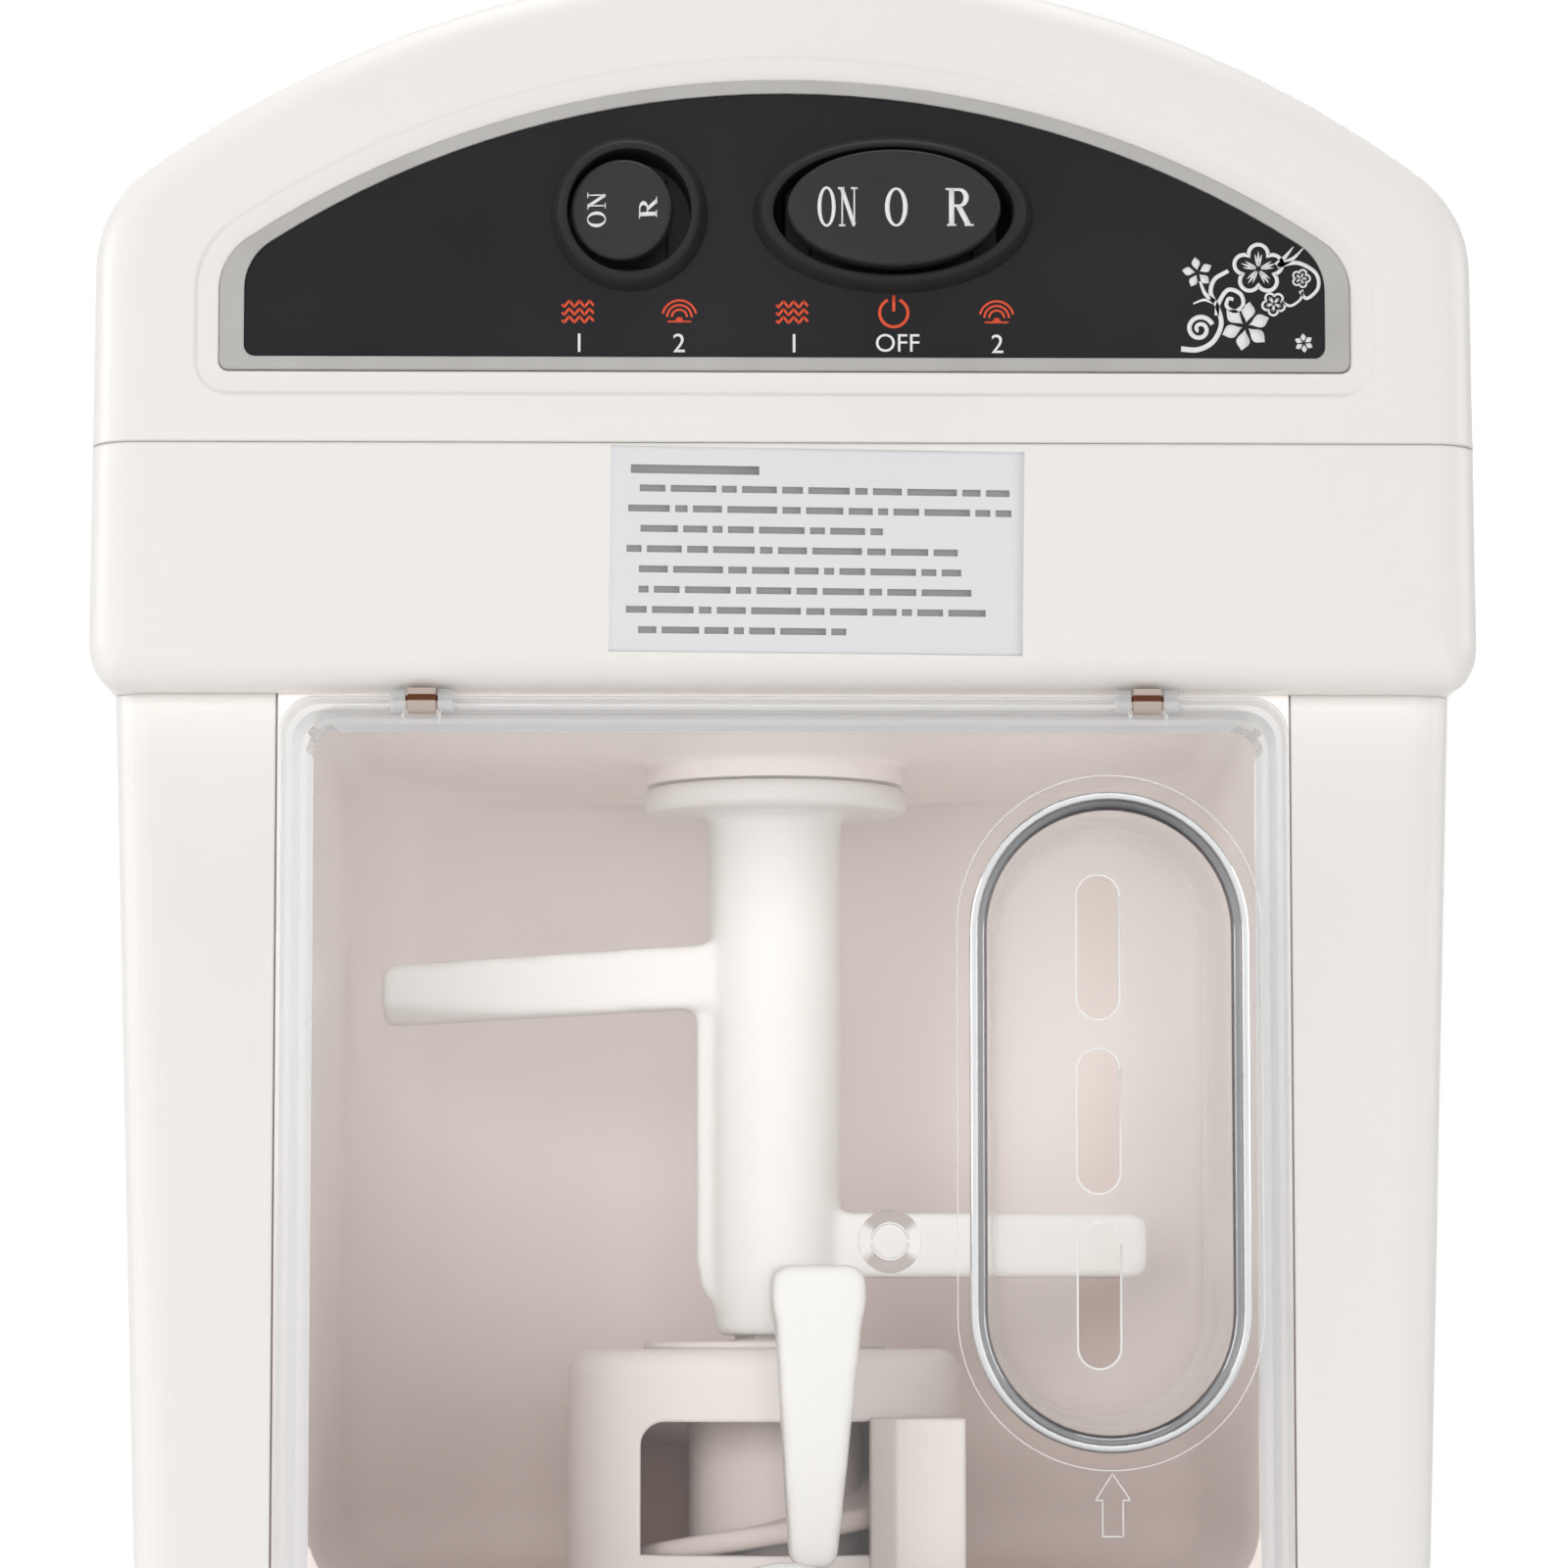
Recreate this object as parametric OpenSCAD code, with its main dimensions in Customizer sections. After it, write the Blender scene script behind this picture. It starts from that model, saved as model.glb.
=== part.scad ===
// Electric pasta maker: a mixing tub over an upright screw press, driven by a
// spur gear train in an arched head. Millimetres, +Z up, the front faces -Y.
// The origin is on the ground, in the middle of the overall box.

/* [Housing] */
// Width of the housing where it meets the head
housing_top_w = 214.4; // [205:0.2:216]
// Width of the housing at its bottom edge
housing_base_w = 199; // [194:0.5:214]
// Distance of the housing's front plane ahead of the origin
housing_front = 128; // [126:0.5:130]
// Distance of the housing's back plane behind the origin
housing_back = 144; // [143:0.5:148]
// Thickness of the outer skin
housing_wall = 3; // [2:0.1:3.5]
// Radius of the upright outer edges
housing_edge_r = 7; // [4:0.5:10]
// Thickness of the skins round the tub space and the bay
inner_skin = 2.5; // [2:0.1:3]
// Radius of the screw bosses
boss_r = 5; // [4.2:0.1:6]

/* [Head] */
// How far the head stands out past the housing on each side
head_overhang = 3.3; // [2.5:0.1:6]
// How much each side leans in between the lower edge and the shoulder
head_lean = 0.5; // [0:0.1:2]
// Distance of the head's front face ahead of the origin
head_front = 140; // [138:0.5:142]
// Height of the head's underside above the ground
head_bottom_z = 258; // [256:0.5:262]
// Height of the head band, from its underside to the seam
head_band_h = 38.8; // [35:0.2:40]
// Height of the head's crown above its underside
head_h = 117.2; // [113:0.1:121]
// Radius of the arch
arch_r = 171.3; // [165:0.1:180]
// Radius of the shoulders
shoulder_r = 20; // [14:0.5:26]
// Radius of the front and back edges
head_edge_r = 8; // [5:0.5:9]
// Width of the rounding along the lower side edges
head_lower_w = 5; // [3:0.5:8]
// Height of that rounding
head_lower_h = 7.4; // [4:0.2:9]
// Wall thickness of both head shells
head_wall = 3.5; // [3:0.1:4]
// Distance of the head screws' seats below the seam
head_screw_grip = 20.8; // [16:0.2:24]

/* [Tub] */
// Inner radius of the mixing tub's round back, and half its width
tub_r = 75; // [70:0.5:76]
// Wall thickness of the tub
tub_wall = 2.4; // [2:0.1:3]
// Distance of the drive axis behind the housing's front plane
drive_setback = 98; // [94:0.5:99]
// Height of the tub floor
tub_floor_z = 114.5; // [113:0.5:118]
// Radius of the hollow curve between the tub's wall and floor
tub_fillet = 11; // [4:0.5:14]
// Thickness of the tub's ceiling
tub_ceiling = 2; // [1.6:0.1:3]
// Radius of the boss round the shaft under the ceiling
ceiling_boss_r = 22.4; // [18:0.2:26]
// Height of that boss
ceiling_boss_h = 3.9; // [3:0.1:5]
// Radius of the hollow curve between that boss and the ceiling
boss_fillet = 1.2; // [0.6:0.1:2]
// Radius of the hollow curve between the tub's wall and ceiling
ceiling_fillet = 4; // [2:0.5:6]
// Width of the flange round the tub's mouth
tub_flange = 3.4; // [2:0.1:4]

/* [Bay] */
// Width of the open bay under the press
bay_w = 156; // [130:1:160]
// Height of the bay's floor above the ground
bay_floor_z = 14; // [13:0.5:20]
// Height of the bay's ceiling above the ground
bay_top_z = 80; // [76:0.5:84]
// Radius of the bay's upper corners
bay_r = 12; // [4:1:20]

/* [Screw barrel] */
// Radius of the barrel below the tub floor
barrel_r = 32; // [31:0.2:33]
// Radius of the barrel's feed head inside the tub
feed_r = 34.3; // [34:0.1:36]
// How far the feed head's outside stands off the drive axis, to the left
feed_shift = 1.8; // [0:0.1:3]
// Bore radius of the barrel
barrel_bore_r = 28.2; // [26:0.1:29]
// Height of the barrel's lower end
barrel_bottom_z = 68; // [66:0.5:71]
// Height of the feed head's top
feed_top_z = 153.8; // [151:0.1:154.5]
// Thickness of the plate that closes the feed head
feed_plate = 6; // [5:0.1:8]
// Radius of the feed head's upper edge
feed_edge_r = 4.3; // [2:0.1:5]
// Left edge of the feed window, from the drive axis
window_left = 23.2; // [18:0.1:25]
// Height of the feed window's lower edge
window_bottom_z = 119; // [116:0.1:122]
// Height of the feed window's top edge
window_top_z = 141.5; // [136:0.1:143]
// Radius of the feed window's upper corners
window_r = 4.2; // [1:0.1:6]
// Near edge of the scraper wall beside the window, from the drive axis
scraper_x = 15.7; // [14:0.1:17]
// Width of the scraper wall
scraper_w = 15.7; // [10:0.1:17]
// How far the scraper wall reaches out from the drive axis
scraper_reach = 40; // [38:0.5:46]
// Radius of the washer on the feed head
washer_r = 21; // [12:0.5:24]
// Thickness of that washer
washer_h = 1.2; // [0.8:0.1:1.5]

/* [Screw] */
// Radius of the screw's core
core_r = 15; // [12:0.5:17]
// Radius of the screw's flight
flight_r = 27.7; // [25:0.1:27.8]
// Rise of the flight in one turn
flight_pitch = 26; // [22:0.5:32]
// Thickness of the flight along the axis
flight_h = 3.8; // [3:0.1:6]
// Direction in which the flight starts at the screw's lower end
flight_start = -7; // [-180:1:180]
// Radius of the screw's neck in the feed plate
neck_r = 8.2; // [7.5:0.1:9]
// Corner radius of the hexagon that joins the screw to the stirrer
screw_hex_r = 7; // [6:0.1:7.4]
// Length of that hexagon
screw_hex_h = 12; // [8:0.5:14]
// Radius of the pin at the screw's lower end
tip_r = 4; // [3:0.1:5]
// How far that pin stands above the die plate's outer face
tip_gap = 3; // [2.5:0.1:5]

/* [Die and nut] */
// Radius of the die plate
die_r = 31.4; // [30:0.1:31.8]
// Thickness of the die plate
die_h = 8; // [6:0.5:9]
// Radius of the noodle holes
noodle_r = 1.5; // [1:0.1:2]
// Radii of the rings of noodle holes
noodle_ring_in = 14.5; // [12:0.5:16]
// Radius of the outer ring of noodle holes
noodle_ring_out = 21.5; // [20:0.5:23]
// Number of noodle holes in the outer ring
noodle_count = 18; // [12:1:22]
// Thickness of the seal ring on the die plate
die_seal_h = 2; // [1:0.1:2.5]
// Outer radius of the nut
nut_r = 42; // [38:0.5:46]
// Thickness of the nut's lower lip
nut_lip_h = 4; // [3:0.5:5]
// Radius of the opening in the nut's lip
nut_mouth_r = 26.5; // [25:0.5:28]
// Gap between the nut and the bay's ceiling
nut_gap = 1; // [0.5:0.1:2]
// Number of grip flutes round the nut
nut_flutes = 12; // [8:1:18]
// Radius of a grip flute
flute_r = 3.4; // [2:0.1:5]

/* [Stirrer] */
// Radius of the stirrer's post
post_r = 11.7; // [11:0.1:13]
// Radius of the post's lower end
post_end_r = 10.3; // [9.5:0.1:11.5]
// How far the rib below the high arm stands out of the post
rib_out = 2; // [1:0.1:4]
// Thickness of that rib
rib_t = 8; // [5:0.5:12]
// Height of the post's lower end
post_bottom_z = 156; // [155.4:0.1:158]
// Radius of the disc at the top of the post
stir_disc_r = 23.2; // [20:0.2:26]
// Thickness of that disc
stir_disc_h = 4.6; // [3:0.1:5]
// Reach of the high arm from the drive axis
high_arm_l = 68.7; // [60:0.5:70]
// Height of the high arm's upper edge at the post
high_arm_z = 224.4; // [210:0.5:228]
// Drop of the high arm between its post and its tip
high_arm_drop = 3.8; // [0:0.1:6]
// Reach of the low arm from the drive axis
low_arm_l = 65; // [56:0.5:69]
// Height of the low arm's middle
low_arm_z = 171.7; // [170:0.1:180]
// Height of both arms' sections
arm_h = 11; // [8:0.5:13]
// Thickness of the arms
arm_t = 11; // [8:0.5:14]
// Reach of the hooked arm from the drive axis, to the outside of its finger
hook_l = 68; // [64:0.5:70]
// Direction of the hooked arm, turned from straight ahead
hook_turn = 2.3; // [0:0.1:8]
// How far the hooked arm lies beside the drive axis
hook_side = 3.6; // [0:0.1:5]
// Height of the hooked arm's upper face
hook_top_z = 167.5; // [166:0.1:169]
// Height of the hooked arm's section
hook_h = 9.1; // [7:0.1:10]
// Width of the hooked arm
hook_arm_w = 9.5; // [7:0.5:12]
// Width of the broad end that carries the finger
hook_w = 15.6; // [12:0.2:17]
// Thickness of the finger along the arm
finger_t = 8.5; // [6:0.5:10]
// Width of the finger at its top
finger_top_w = 14.2; // [10:0.2:15.5]
// Width of the finger at its tip
finger_tip_w = 7.4; // [5:0.2:10]
// How far the finger's tip leans to the left
finger_lean = 0.9; // [0:0.1:3]
// Height of the finger's tip above the tub's floor
finger_gap = 3.5; // [2:0.1:6]

/* [Gear train] */
// Radius of the output shaft
shaft_r = 6; // [5.5:0.1:6.5]
// Length of the hexagon at the output shaft's lower end
shaft_hex_h = 24; // [18:1:28]
// Module of the last gear pair
mod_c = 2; // [1.9:0.05:2.05]
// Module of the middle gear pair
mod_b = 1.75; // [1.7:0.05:1.8]
// Module of the motor's gear pair
mod_a = 1.5; // [1.45:0.05:1.55]
// Teeth of the output gear
teeth_out = 46; // [44:1:47]
// Teeth of the pinion that drives the output gear
teeth_c = 14; // [13:1:15]
// Teeth of the second wheel
teeth_second = 46; // [44:1:47]
// Teeth of the pinion that drives the second wheel
teeth_b = 14; // [13:1:15]
// Teeth of the first wheel
teeth_first = 48; // [46:1:50]
// Teeth of the motor's pinion
teeth_motor = 12; // [11:1:13]
// Play taken off each tooth flank
tooth_play = 0.09; // [0.06:0.01:0.14]
// Direction of the second wheel's pin, seen from the output shaft
second_dir = 60; // [56:1:64]
// Thickness of the output gear
out_gear_h = 12; // [9:0.5:13]
// Thickness of the output gear's hub round the shaft
gear_hub = 8; // [5:0.5:10]
// Width of its rim under the teeth
gear_rim = 6; // [4:0.5:9]
// Depth of the dish in each of its faces
gear_dish = 3; // [1:0.5:4]
// Thickness of the second wheel
second_h = 9; // [7:0.5:10]
// Thickness of the first wheel
first_h = 8; // [6:0.5:9]
// Axial play between stacked gears
gear_gap = 1; // [0.6:0.1:1.5]
// Radius of the two fixed gear pins
gear_pin_r = 4; // [3:0.1:4.5]
// Thickness of both gearbox plates
gear_plate_h = 3; // [2:0.1:4]
// Outer radius of the output shaft's bearings
bearing_r = 14; // [12:0.5:15]
// Height of those bearings
bearing_h = 7; // [5:0.5:8]
// How far the gearbox plates reach ahead of the output shaft
gear_plate_ahead = 44; // [40:1:48]
// Distance of the upper plate's back edge ahead of the motor axis
gear_plate_back = 15; // [12:1:20]
// Half width of the gearbox plates
gear_plate_half_w = 76; // [74:1:82]
// Radius of the posts between the gearbox plates
gear_post_r = 4.5; // [3.5:0.1:5]

/* [Motor] */
// Distance of the motor axis ahead of the housing's back plane
motor_inset = 49; // [48:0.5:51]
// Width of the stator's square stack
stator_w = 76; // [70:1:78]
// Height of the stator's stack
stator_h = 44; // [36:1:50]
// Gap between the top bracket and the stator
stator_drop = 18; // [16:0.5:22]
// Radius of the rotor
rotor_r = 24; // [20:0.5:26]
// Radial gap between rotor and stator
air_gap = 0.5; // [0.4:0.1:0.8]
// Radius of the motor shaft
motor_shaft_r = 4; // [3.5:0.1:5]
// Outer radius of the windings' end turns
winding_r = 34; // [32:0.5:35]
// Radius of the cooling fan
fan_r = 33; // [28:0.5:36]
// Height of the cooling fan
fan_h = 11; // [8:0.5:14]
// Number of fan blades
fan_blades = 9; // [7:1:12]

/* [Front cover] */
// How far the clear cover's rim lies inside the tub's flange at each side
cover_inset = 0.3; // [0:0.1:2]
// Gap between the cover's top and the head
cover_gap = 0.5; // [0.3:0.1:1.2]
// Distance of the magnet's middle from the cover's side edge
magnet_setin = 20.5; // [16:0.5:26]
// Height of the magnet's middle above the cover's lower edge
magnet_rise = 13; // [11:0.5:16]
// Height of the cover's rim at its bottom
cover_bottom_z = 84; // [82:0.5:88]
// Depth of the cover from its rim to its face
cover_depth = 11.5; // [10:0.1:12]
// How far the cover's sides slope inwards
cover_slope = 4.8; // [3:0.1:6]
// How far the cover's top slopes inwards
cover_top_slope = 5.5; // [4:0.1:6]
// Corner radius of the cover's rim
cover_r = 5.8; // [4.5:0.1:8]
// Corner radius of the cover's face
cover_face_r = 4.9; // [4:0.1:7]
// Wall thickness of the cover
cover_wall = 2.4; // [2:0.1:2.6]
// Distance of the hinge hooks either side of the middle
hook_x = 57.5; // [50:0.5:62]
// Width of the notch round a hinge hook
notch_w = 5.2; // [4.6:0.1:6]
// Radius of the hinge pins
hinge_pin_r = 1.1; // [0.9:0.05:1.2]
// Sideways place of the moulding dimple in the cover's face
dimple_x = 16.4; // [10:0.1:20]
// Height of the dimple
dimple_z = 170.6; // [160:0.1:180]
// Radius of the dimple
dimple_r = 4.9; // [3:0.1:6]

/* [Fill port] */
// Distance of the fill port's middle from the tub's side wall
port_setin = 24; // [23.5:0.5:29]
// Height of the fill port's middle
port_z = 189.4; // [184:0.2:192]
// Width of the port's bright ring
port_w = 44.1; // [38:0.1:45]
// Height of the port's bright ring
port_h = 103.7; // [90:0.1:106]
// Width of the ring's flat
port_ring = 1.9; // [1.4:0.1:2.2]
// Depth of the fill pocket behind the cover's face
port_depth = 28; // [20:0.5:29]
// Wall thickness of the fill pocket
port_wall = 1.8; // [1.4:0.1:2.2]
// Width of a slot in the pocket's floor
slot_w = 6.8; // [5:0.1:8]
// Length of a slot
slot_l = 23.3; // [18:0.1:25]
// Spacing of the slots
slot_step = 28.1; // [26:0.1:30]
// Number of slots
slot_count = 3; // [1:1:3]

/* [Cover lock] */
// Height of the lock knob's middle
lock_z = 104.7; // [102:0.1:106]
// Radius of the lock knob
knob_r = 16; // [12:0.5:17]
// How far the knob stands out from the cover
knob_h = 8; // [6.5:0.1:9]
// Width of the knob's bright ring
knob_ring_w = 2; // [1:0.1:3]
// Radius of the knob's stem in the cover
stem_r = 6; // [5:0.1:6.5]
// Length of the cam behind the cover, from its axis
cam_l = 14; // [12:0.5:16]
// Width of the cam
cam_w = 7; // [6:0.1:8]
// Thickness of the cam
cam_t = 3; // [2:0.1:4]

/* [Control panel] */
// Half width of the bright trim
trim_half_w = 89.7; // [86:0.1:92]
// Height of the trim's lower edge above the head's seam
trim_above = 11.5; // [9:0.1:13]
// How far the trim's crown lies below the head's crown
trim_below = 20.2; // [18:0.1:23]
// Radius of the trim's arch
trim_arch_r = 154.6; // [150:0.2:160]
// Radius of the trim's shoulders
trim_shoulder_r = 9.8; // [7:0.1:12]
// Width of the trim at the sides
trim_side = 3.9; // [3:0.1:5]
// Width of the trim at the top and bottom
trim_edge = 2.1; // [1.6:0.1:3]
// How far the faint step round the trim stands off
rebate = 4; // [2:0.1:5]
// Depth of the pocket that holds the trim
panel_pocket = 1.6; // [1.2:0.1:1.8]
// How far the trim stands out of the head
trim_proud = 0.5; // [0.2:0.1:1]

/* [Rocker switches] */
// Height of the switches' middle above the trim's lower edge
switch_above = 25.2; // [23.5:0.1:26.5]
// Sideways place of the round switch
round_x = -24.8; // [-28:0.1:-22]
// Radius of the round switch's bezel
round_bezel_r = 12.5; // [11.8:0.1:13]
// Opening radius of the round bezel
round_hole_r = 9.8; // [9.4:0.1:10]
// Radius of the round rocker's face
round_face_r = 8.1; // [7.5:0.1:8.2]
// Sideways place of the oval switch
oval_x = 17.1; // [15:0.1:20]
// Half width of the oval bezel
oval_bezel_a = 22.3; // [21.5:0.1:23]
// Half height of the oval bezel
oval_bezel_b = 12.7; // [12.4:0.1:13]
// Half width of the oval opening
oval_hole_a = 19; // [18.6:0.1:19.4]
// Half height of the oval opening
oval_hole_b = 10.2; // [10:0.1:10.4]
// Half width of the oval rocker's face
oval_face_a = 16.9; // [15:0.1:17.1]
// Half height of the oval rocker's face
oval_face_b = 9.3; // [8.5:0.1:9.4]
// How far the bezels stand out of the panel
bezel_proud = 3.6; // [2.5:0.1:4]
// How far the oval rocker stands out of its bezel
oval_proud = 3.1; // [2:0.1:3.6]
// Distance of the rocker pivots behind the bezels' rims
pivot_depth = 7.4; // [6.5:0.1:8]
// Radius of the rocker pivots
pivot_r = 1.2; // [1:0.05:1.4]
// Tilt of the round rocker to either side
round_tilt = 10; // [6:0.5:10]

/* [Base and back] */
// Height of the rubber feet
foot_h = 6; // [5:0.5:7]
// Radius of the rubber feet
foot_r = 11; // [9:0.5:13]
// Sideways place of the feet
foot_x = 84; // [78:0.5:86]
// Distance of the feet from the front and back planes
foot_inset = 18; // [16:0.5:24]
// Thickness of the base plate
base_h = 3; // [2:0.1:3.5]
// Thickness of the back cover
back_h = 3; // [2:0.1:3.4]
// How far the back cover's vent field stands out
vent_proud = 4; // [2:0.5:4]
// Number of vent slots
vent_count = 11; // [5:1:12]
// Spacing of the vent slots
vent_step = 9; // [8:0.5:10]
// Height of a vent slot
vent_slot = 4; // [3:0.5:5]
// Width of the vent slots
vent_w = 104; // [80:1:120]
// Height of the vent field's middle
vent_z = 170; // [140:1:180]
// Distance of the lowest back screws from the housing's lower edge
back_screw_low = 24; // [18:1:30]
// Distance of the highest back screws from the housing's upper edge
back_screw_high = 18; // [14:1:24]
// Radius of the small screws' shanks
screw_r = 1.8; // [1.5:0.1:2]
// Radius of the small screws' heads
screw_head_r = 3.6; // [3.2:0.1:4]

/* [Electrics] */
// Width of the control board
board_w = 64; // [54:1:66]
// Length of the control board
board_l = 80; // [72:1:84]
// Left edge of the control board, from the middle
board_left = 78; // [74:1:82]
// Height of the board's standoffs
standoff_h = 6; // [4:0.5:8]
// Radius of the run capacitor
cap_r = 17; // [12:0.5:18]
// Height of the run capacitor
cap_h = 52; // [40:1:60]
// Sideways place of the run capacitor
cap_x = 48; // [40:1:56]
// Sideways place of the mains inlet
inlet_x = 56; // [50:1:62]
// Height of the mains inlet's middle
inlet_z = 44; // [38:1:52]
// Width of the mains inlet's body
inlet_w = 28; // [26:0.5:30]
// Height of the mains inlet's body
inlet_h = 20; // [18:0.5:21]
// Depth of the mains inlet's body
inlet_d = 18; // [16:0.5:22]

/* [Hidden] */
$fn = 72;

// Clearances: a sliding fit, a running fit and a free gap
slip = 0.3;
run = 0.06;
free = 0.5;
// Overlap that lets one cut or union reach past another
eps = 0.1;

// Levels and places that several pieces share
head_seam_z = head_bottom_z + head_band_h;
head_top_z = head_bottom_z + head_h;
trim_bottom_z = head_seam_z + trim_above;
trim_top_z = head_top_z - trim_below;
switch_z = trim_bottom_z + switch_above;
cover_top_z = head_bottom_z - cover_gap;
cover_w = 2 * (tub_r + tub_wall + tub_flange - cover_inset);
port_x = tub_r - port_setin;
base_z = foot_h;
base_top_z = base_z + base_h;
head_w = housing_top_w + 2 * head_overhang;
head_back = housing_back + vent_proud;
front_y = -housing_front;
face_y = -head_front;
drive_y = front_y + drive_setback;
motor_y = housing_back - motor_inset;
ceiling_z = head_bottom_z - tub_ceiling;
tub_bottom_z = tub_floor_z - tub_wall;
rear_y = drive_y + tub_r + tub_wall + slip + inner_skin;
shell_d = housing_front + housing_back;

// Levels of the gear train, from the head's floor upwards
plate_z = head_bottom_z + head_wall;
plate_top_z = plate_z + gear_plate_h;
out_gear_z = plate_top_z + bearing_h + gear_gap;
second_z = out_gear_z + out_gear_h + gear_gap;
first_z = second_z + second_h + gear_gap;
top_plate_z = first_z + first_h + gear_gap + bearing_h;
centre_c = mod_c * (teeth_out + teeth_c) / 2;
centre_b = mod_b * (teeth_second + teeth_b) / 2;
centre_a = mod_a * (teeth_first + teeth_motor) / 2;
drive_at = [0, drive_y];
second_at = drive_at + centre_c * [cos(second_dir), sin(second_dir)];
motor_at = [0, motor_y];
span = norm(motor_at - second_at);
first_reach = (centre_a * centre_a - centre_b * centre_b + span * span) / (2 * span);
first_side = sqrt(centre_a * centre_a - first_reach * first_reach);
span_dir = (second_at - motor_at) / span;
first_at = motor_at + first_reach * span_dir + first_side * [span_dir[1], -span_dir[0]];
second_turn = mesh_turn(drive_at, second_at, teeth_out, 0, teeth_c);
first_turn = mesh_turn(second_at, first_at, teeth_second, second_turn, teeth_b);
motor_turn = mesh_turn(first_at, motor_at, teeth_first, first_turn, teeth_motor);

// Cover, hinge and lock
cover_back_y = front_y - free;
cover_face_y = cover_back_y - cover_depth;
hinge_y = cover_back_y - 6.5;
hinge_z = cover_top_z - 1.6;
lug_r = hinge_pin_r + 1;
lug_w = 2.4;
cam_y = front_y + housing_wall + free;
port_floor_y = cover_face_y + port_depth;

// Panel and switches
panel_floor_y = face_y + panel_pocket;
panel_y = face_y - trim_proud + 0.6;
bezel_y = panel_y - bezel_proud;
pivot_y = bezel_y + pivot_depth;
tube_wall = 1.7;
tube_back_y = pivot_y + 5;

// Screw stack
die_top_z = barrel_bottom_z - die_seal_h;
die_z = die_top_z - die_h;
nut_z = die_z - nut_lip_h;
core_bottom_z = barrel_bottom_z + 3;
core_top_z = feed_top_z - feed_plate - free;
core_h = core_top_z - core_bottom_z;

back_levels = [base_z + back_screw_low, (base_z + back_screw_low + head_bottom_z - back_screw_high) / 2,
    head_bottom_z - back_screw_high];
head_screw_z = head_seam_z - head_screw_grip;
foot_places = [for (x = [-foot_x, foot_x], y = [front_y + foot_inset, housing_back - foot_inset]) [x, y]];
post_places = [[-60, drive_y - 34], [60, drive_y - 34], [-66, 62], [70, 70]];

// Points of an arc round c from angle a to angle b, in n steps
function arc(c, r, a, b, n) = [for (i = [0:n]) let (t = a + (b - a) * i / n) c + r * [cos(t), sin(t)]];

// Outline of an arched face: straight sides, round shoulders, elliptic lower corners.
// The inset moves every edge inwards by the same amount.
function arched(half_w, lean, bottom, top, arch, shoulder, low, inset, n) =
    let (side = half_w - lean,
        centre = [0, top - arch],
        rise = sqrt(pow(arch - shoulder, 2) - pow(side - shoulder, 2)),
        turn = atan2(rise, side - shoulder),
        up = centre + [side - shoulder, rise],
        a = max(low[0] - inset, 0.8),
        b = max(low[1] - inset, 0.8),
        r_up = max(shoulder - inset, 0.8),
        corner = [for (p = arc([0, 0], 1, -90, 0, n)) [a * p[0], b * p[1]]],
        right = concat([for (p = corner) p + [half_w - inset - a, bottom + inset + b]],
            arc(up, r_up, 0, turn, n)),
        crown = arc(centre, arch - inset, turn, 180 - turn, 4 * n),
        left = [for (i = [len(right) - 1:-1:0]) [-right[i][0], right[i][1]]])
    concat(right, crown, left);

function head_outline(inset, n = 6) =
    arched(head_w / 2, head_lean, head_bottom_z, head_top_z, arch_r, shoulder_r,
        [head_lower_w, head_lower_h], inset, n);

function trim_outline(out = 0) =
    arched(trim_half_w + out, 0, trim_bottom_z - out, trim_top_z + out, trim_arch_r + out,
        trim_shoulder_r + out, [1.4 + out, 1.4 + out], 0, 8);

function panel_outline(gap = 0) =
    arched(trim_half_w - trim_side - gap, 0, trim_bottom_z + trim_edge + gap, trim_top_z - trim_edge - gap,
        trim_arch_r - trim_side, trim_shoulder_r - 0.8, [1.8, 1.8], 0, 8);

function ellipse_points(a, b, n = 48) = [for (i = [0:n - 1]) [a * cos(360 * i / n), b * sin(360 * i / n)]];

// Turn that brings a wheel of n_b teeth at b into mesh with a wheel of n_a teeth
// at a, which is itself turned by turn_a
function mesh_turn(a, b, n_a, turn_a, n_b) =
    let (dir = atan2(b[1] - a[1], b[0] - a[0]))
    dir + 180 - (0.5 - (dir - turn_a) * n_a / 360) * 360 / n_b;

// Half the angle that an involute tooth spans at radius r, less the play
function involute(a) = tan(a) * 180 / PI - a;
function tooth_half(n, m, r, angle = 25) =
    let (pitch_r = n * m / 2, base_r = pitch_r * cos(angle))
    90 / n + involute(angle) - involute(acos(min(1, base_r / r))) - tooth_play * 180 / PI / pitch_r;

// Outline of an involute spur gear with n teeth of module m
function gear_points(n, m, angle = 25, steps = 3) =
    let (pitch_r = n * m / 2,
        root_r = pitch_r - 1.15 * m,
        tip_r = pitch_r + 0.85 * m,
        start_r = max(root_r + 0.1, pitch_r * cos(angle) + 0.01))
    [for (i = [0:n - 1])
        let (mid = 360 * i / n,
            low = tooth_half(n, m, start_r),
            flank = [for (k = [0:steps]) start_r + (tip_r - start_r) * k / steps])
        each concat([root_r * [cos(mid - low), sin(mid - low)]],
            [for (r = flank) r * [cos(mid - tooth_half(n, m, r)), sin(mid - tooth_half(n, m, r))]],
            [for (k = [steps:-1:0]) let (r = flank[k], t = mid + tooth_half(n, m, r)) r * [cos(t), sin(t)]],
            [root_r * [cos(mid + low), sin(mid + low)]])];

// Rectangle with four round corners, centred on the origin
module rounded(w, h, r) {
    square([w - 2 * r, h], center = true);
    square([w, h - 2 * r], center = true);
    for (x = [-1, 1], y = [-1, 1])
        translate([x * (w / 2 - r), y * (h / 2 - r)]) circle(r);
}

// Slot with round ends, upright
module racetrack(w, h) {
    square([w, h - w], center = true);
    for (s = [-1, 1])
        translate([0, s * (h - w) / 2]) circle(d = w);
}

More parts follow.
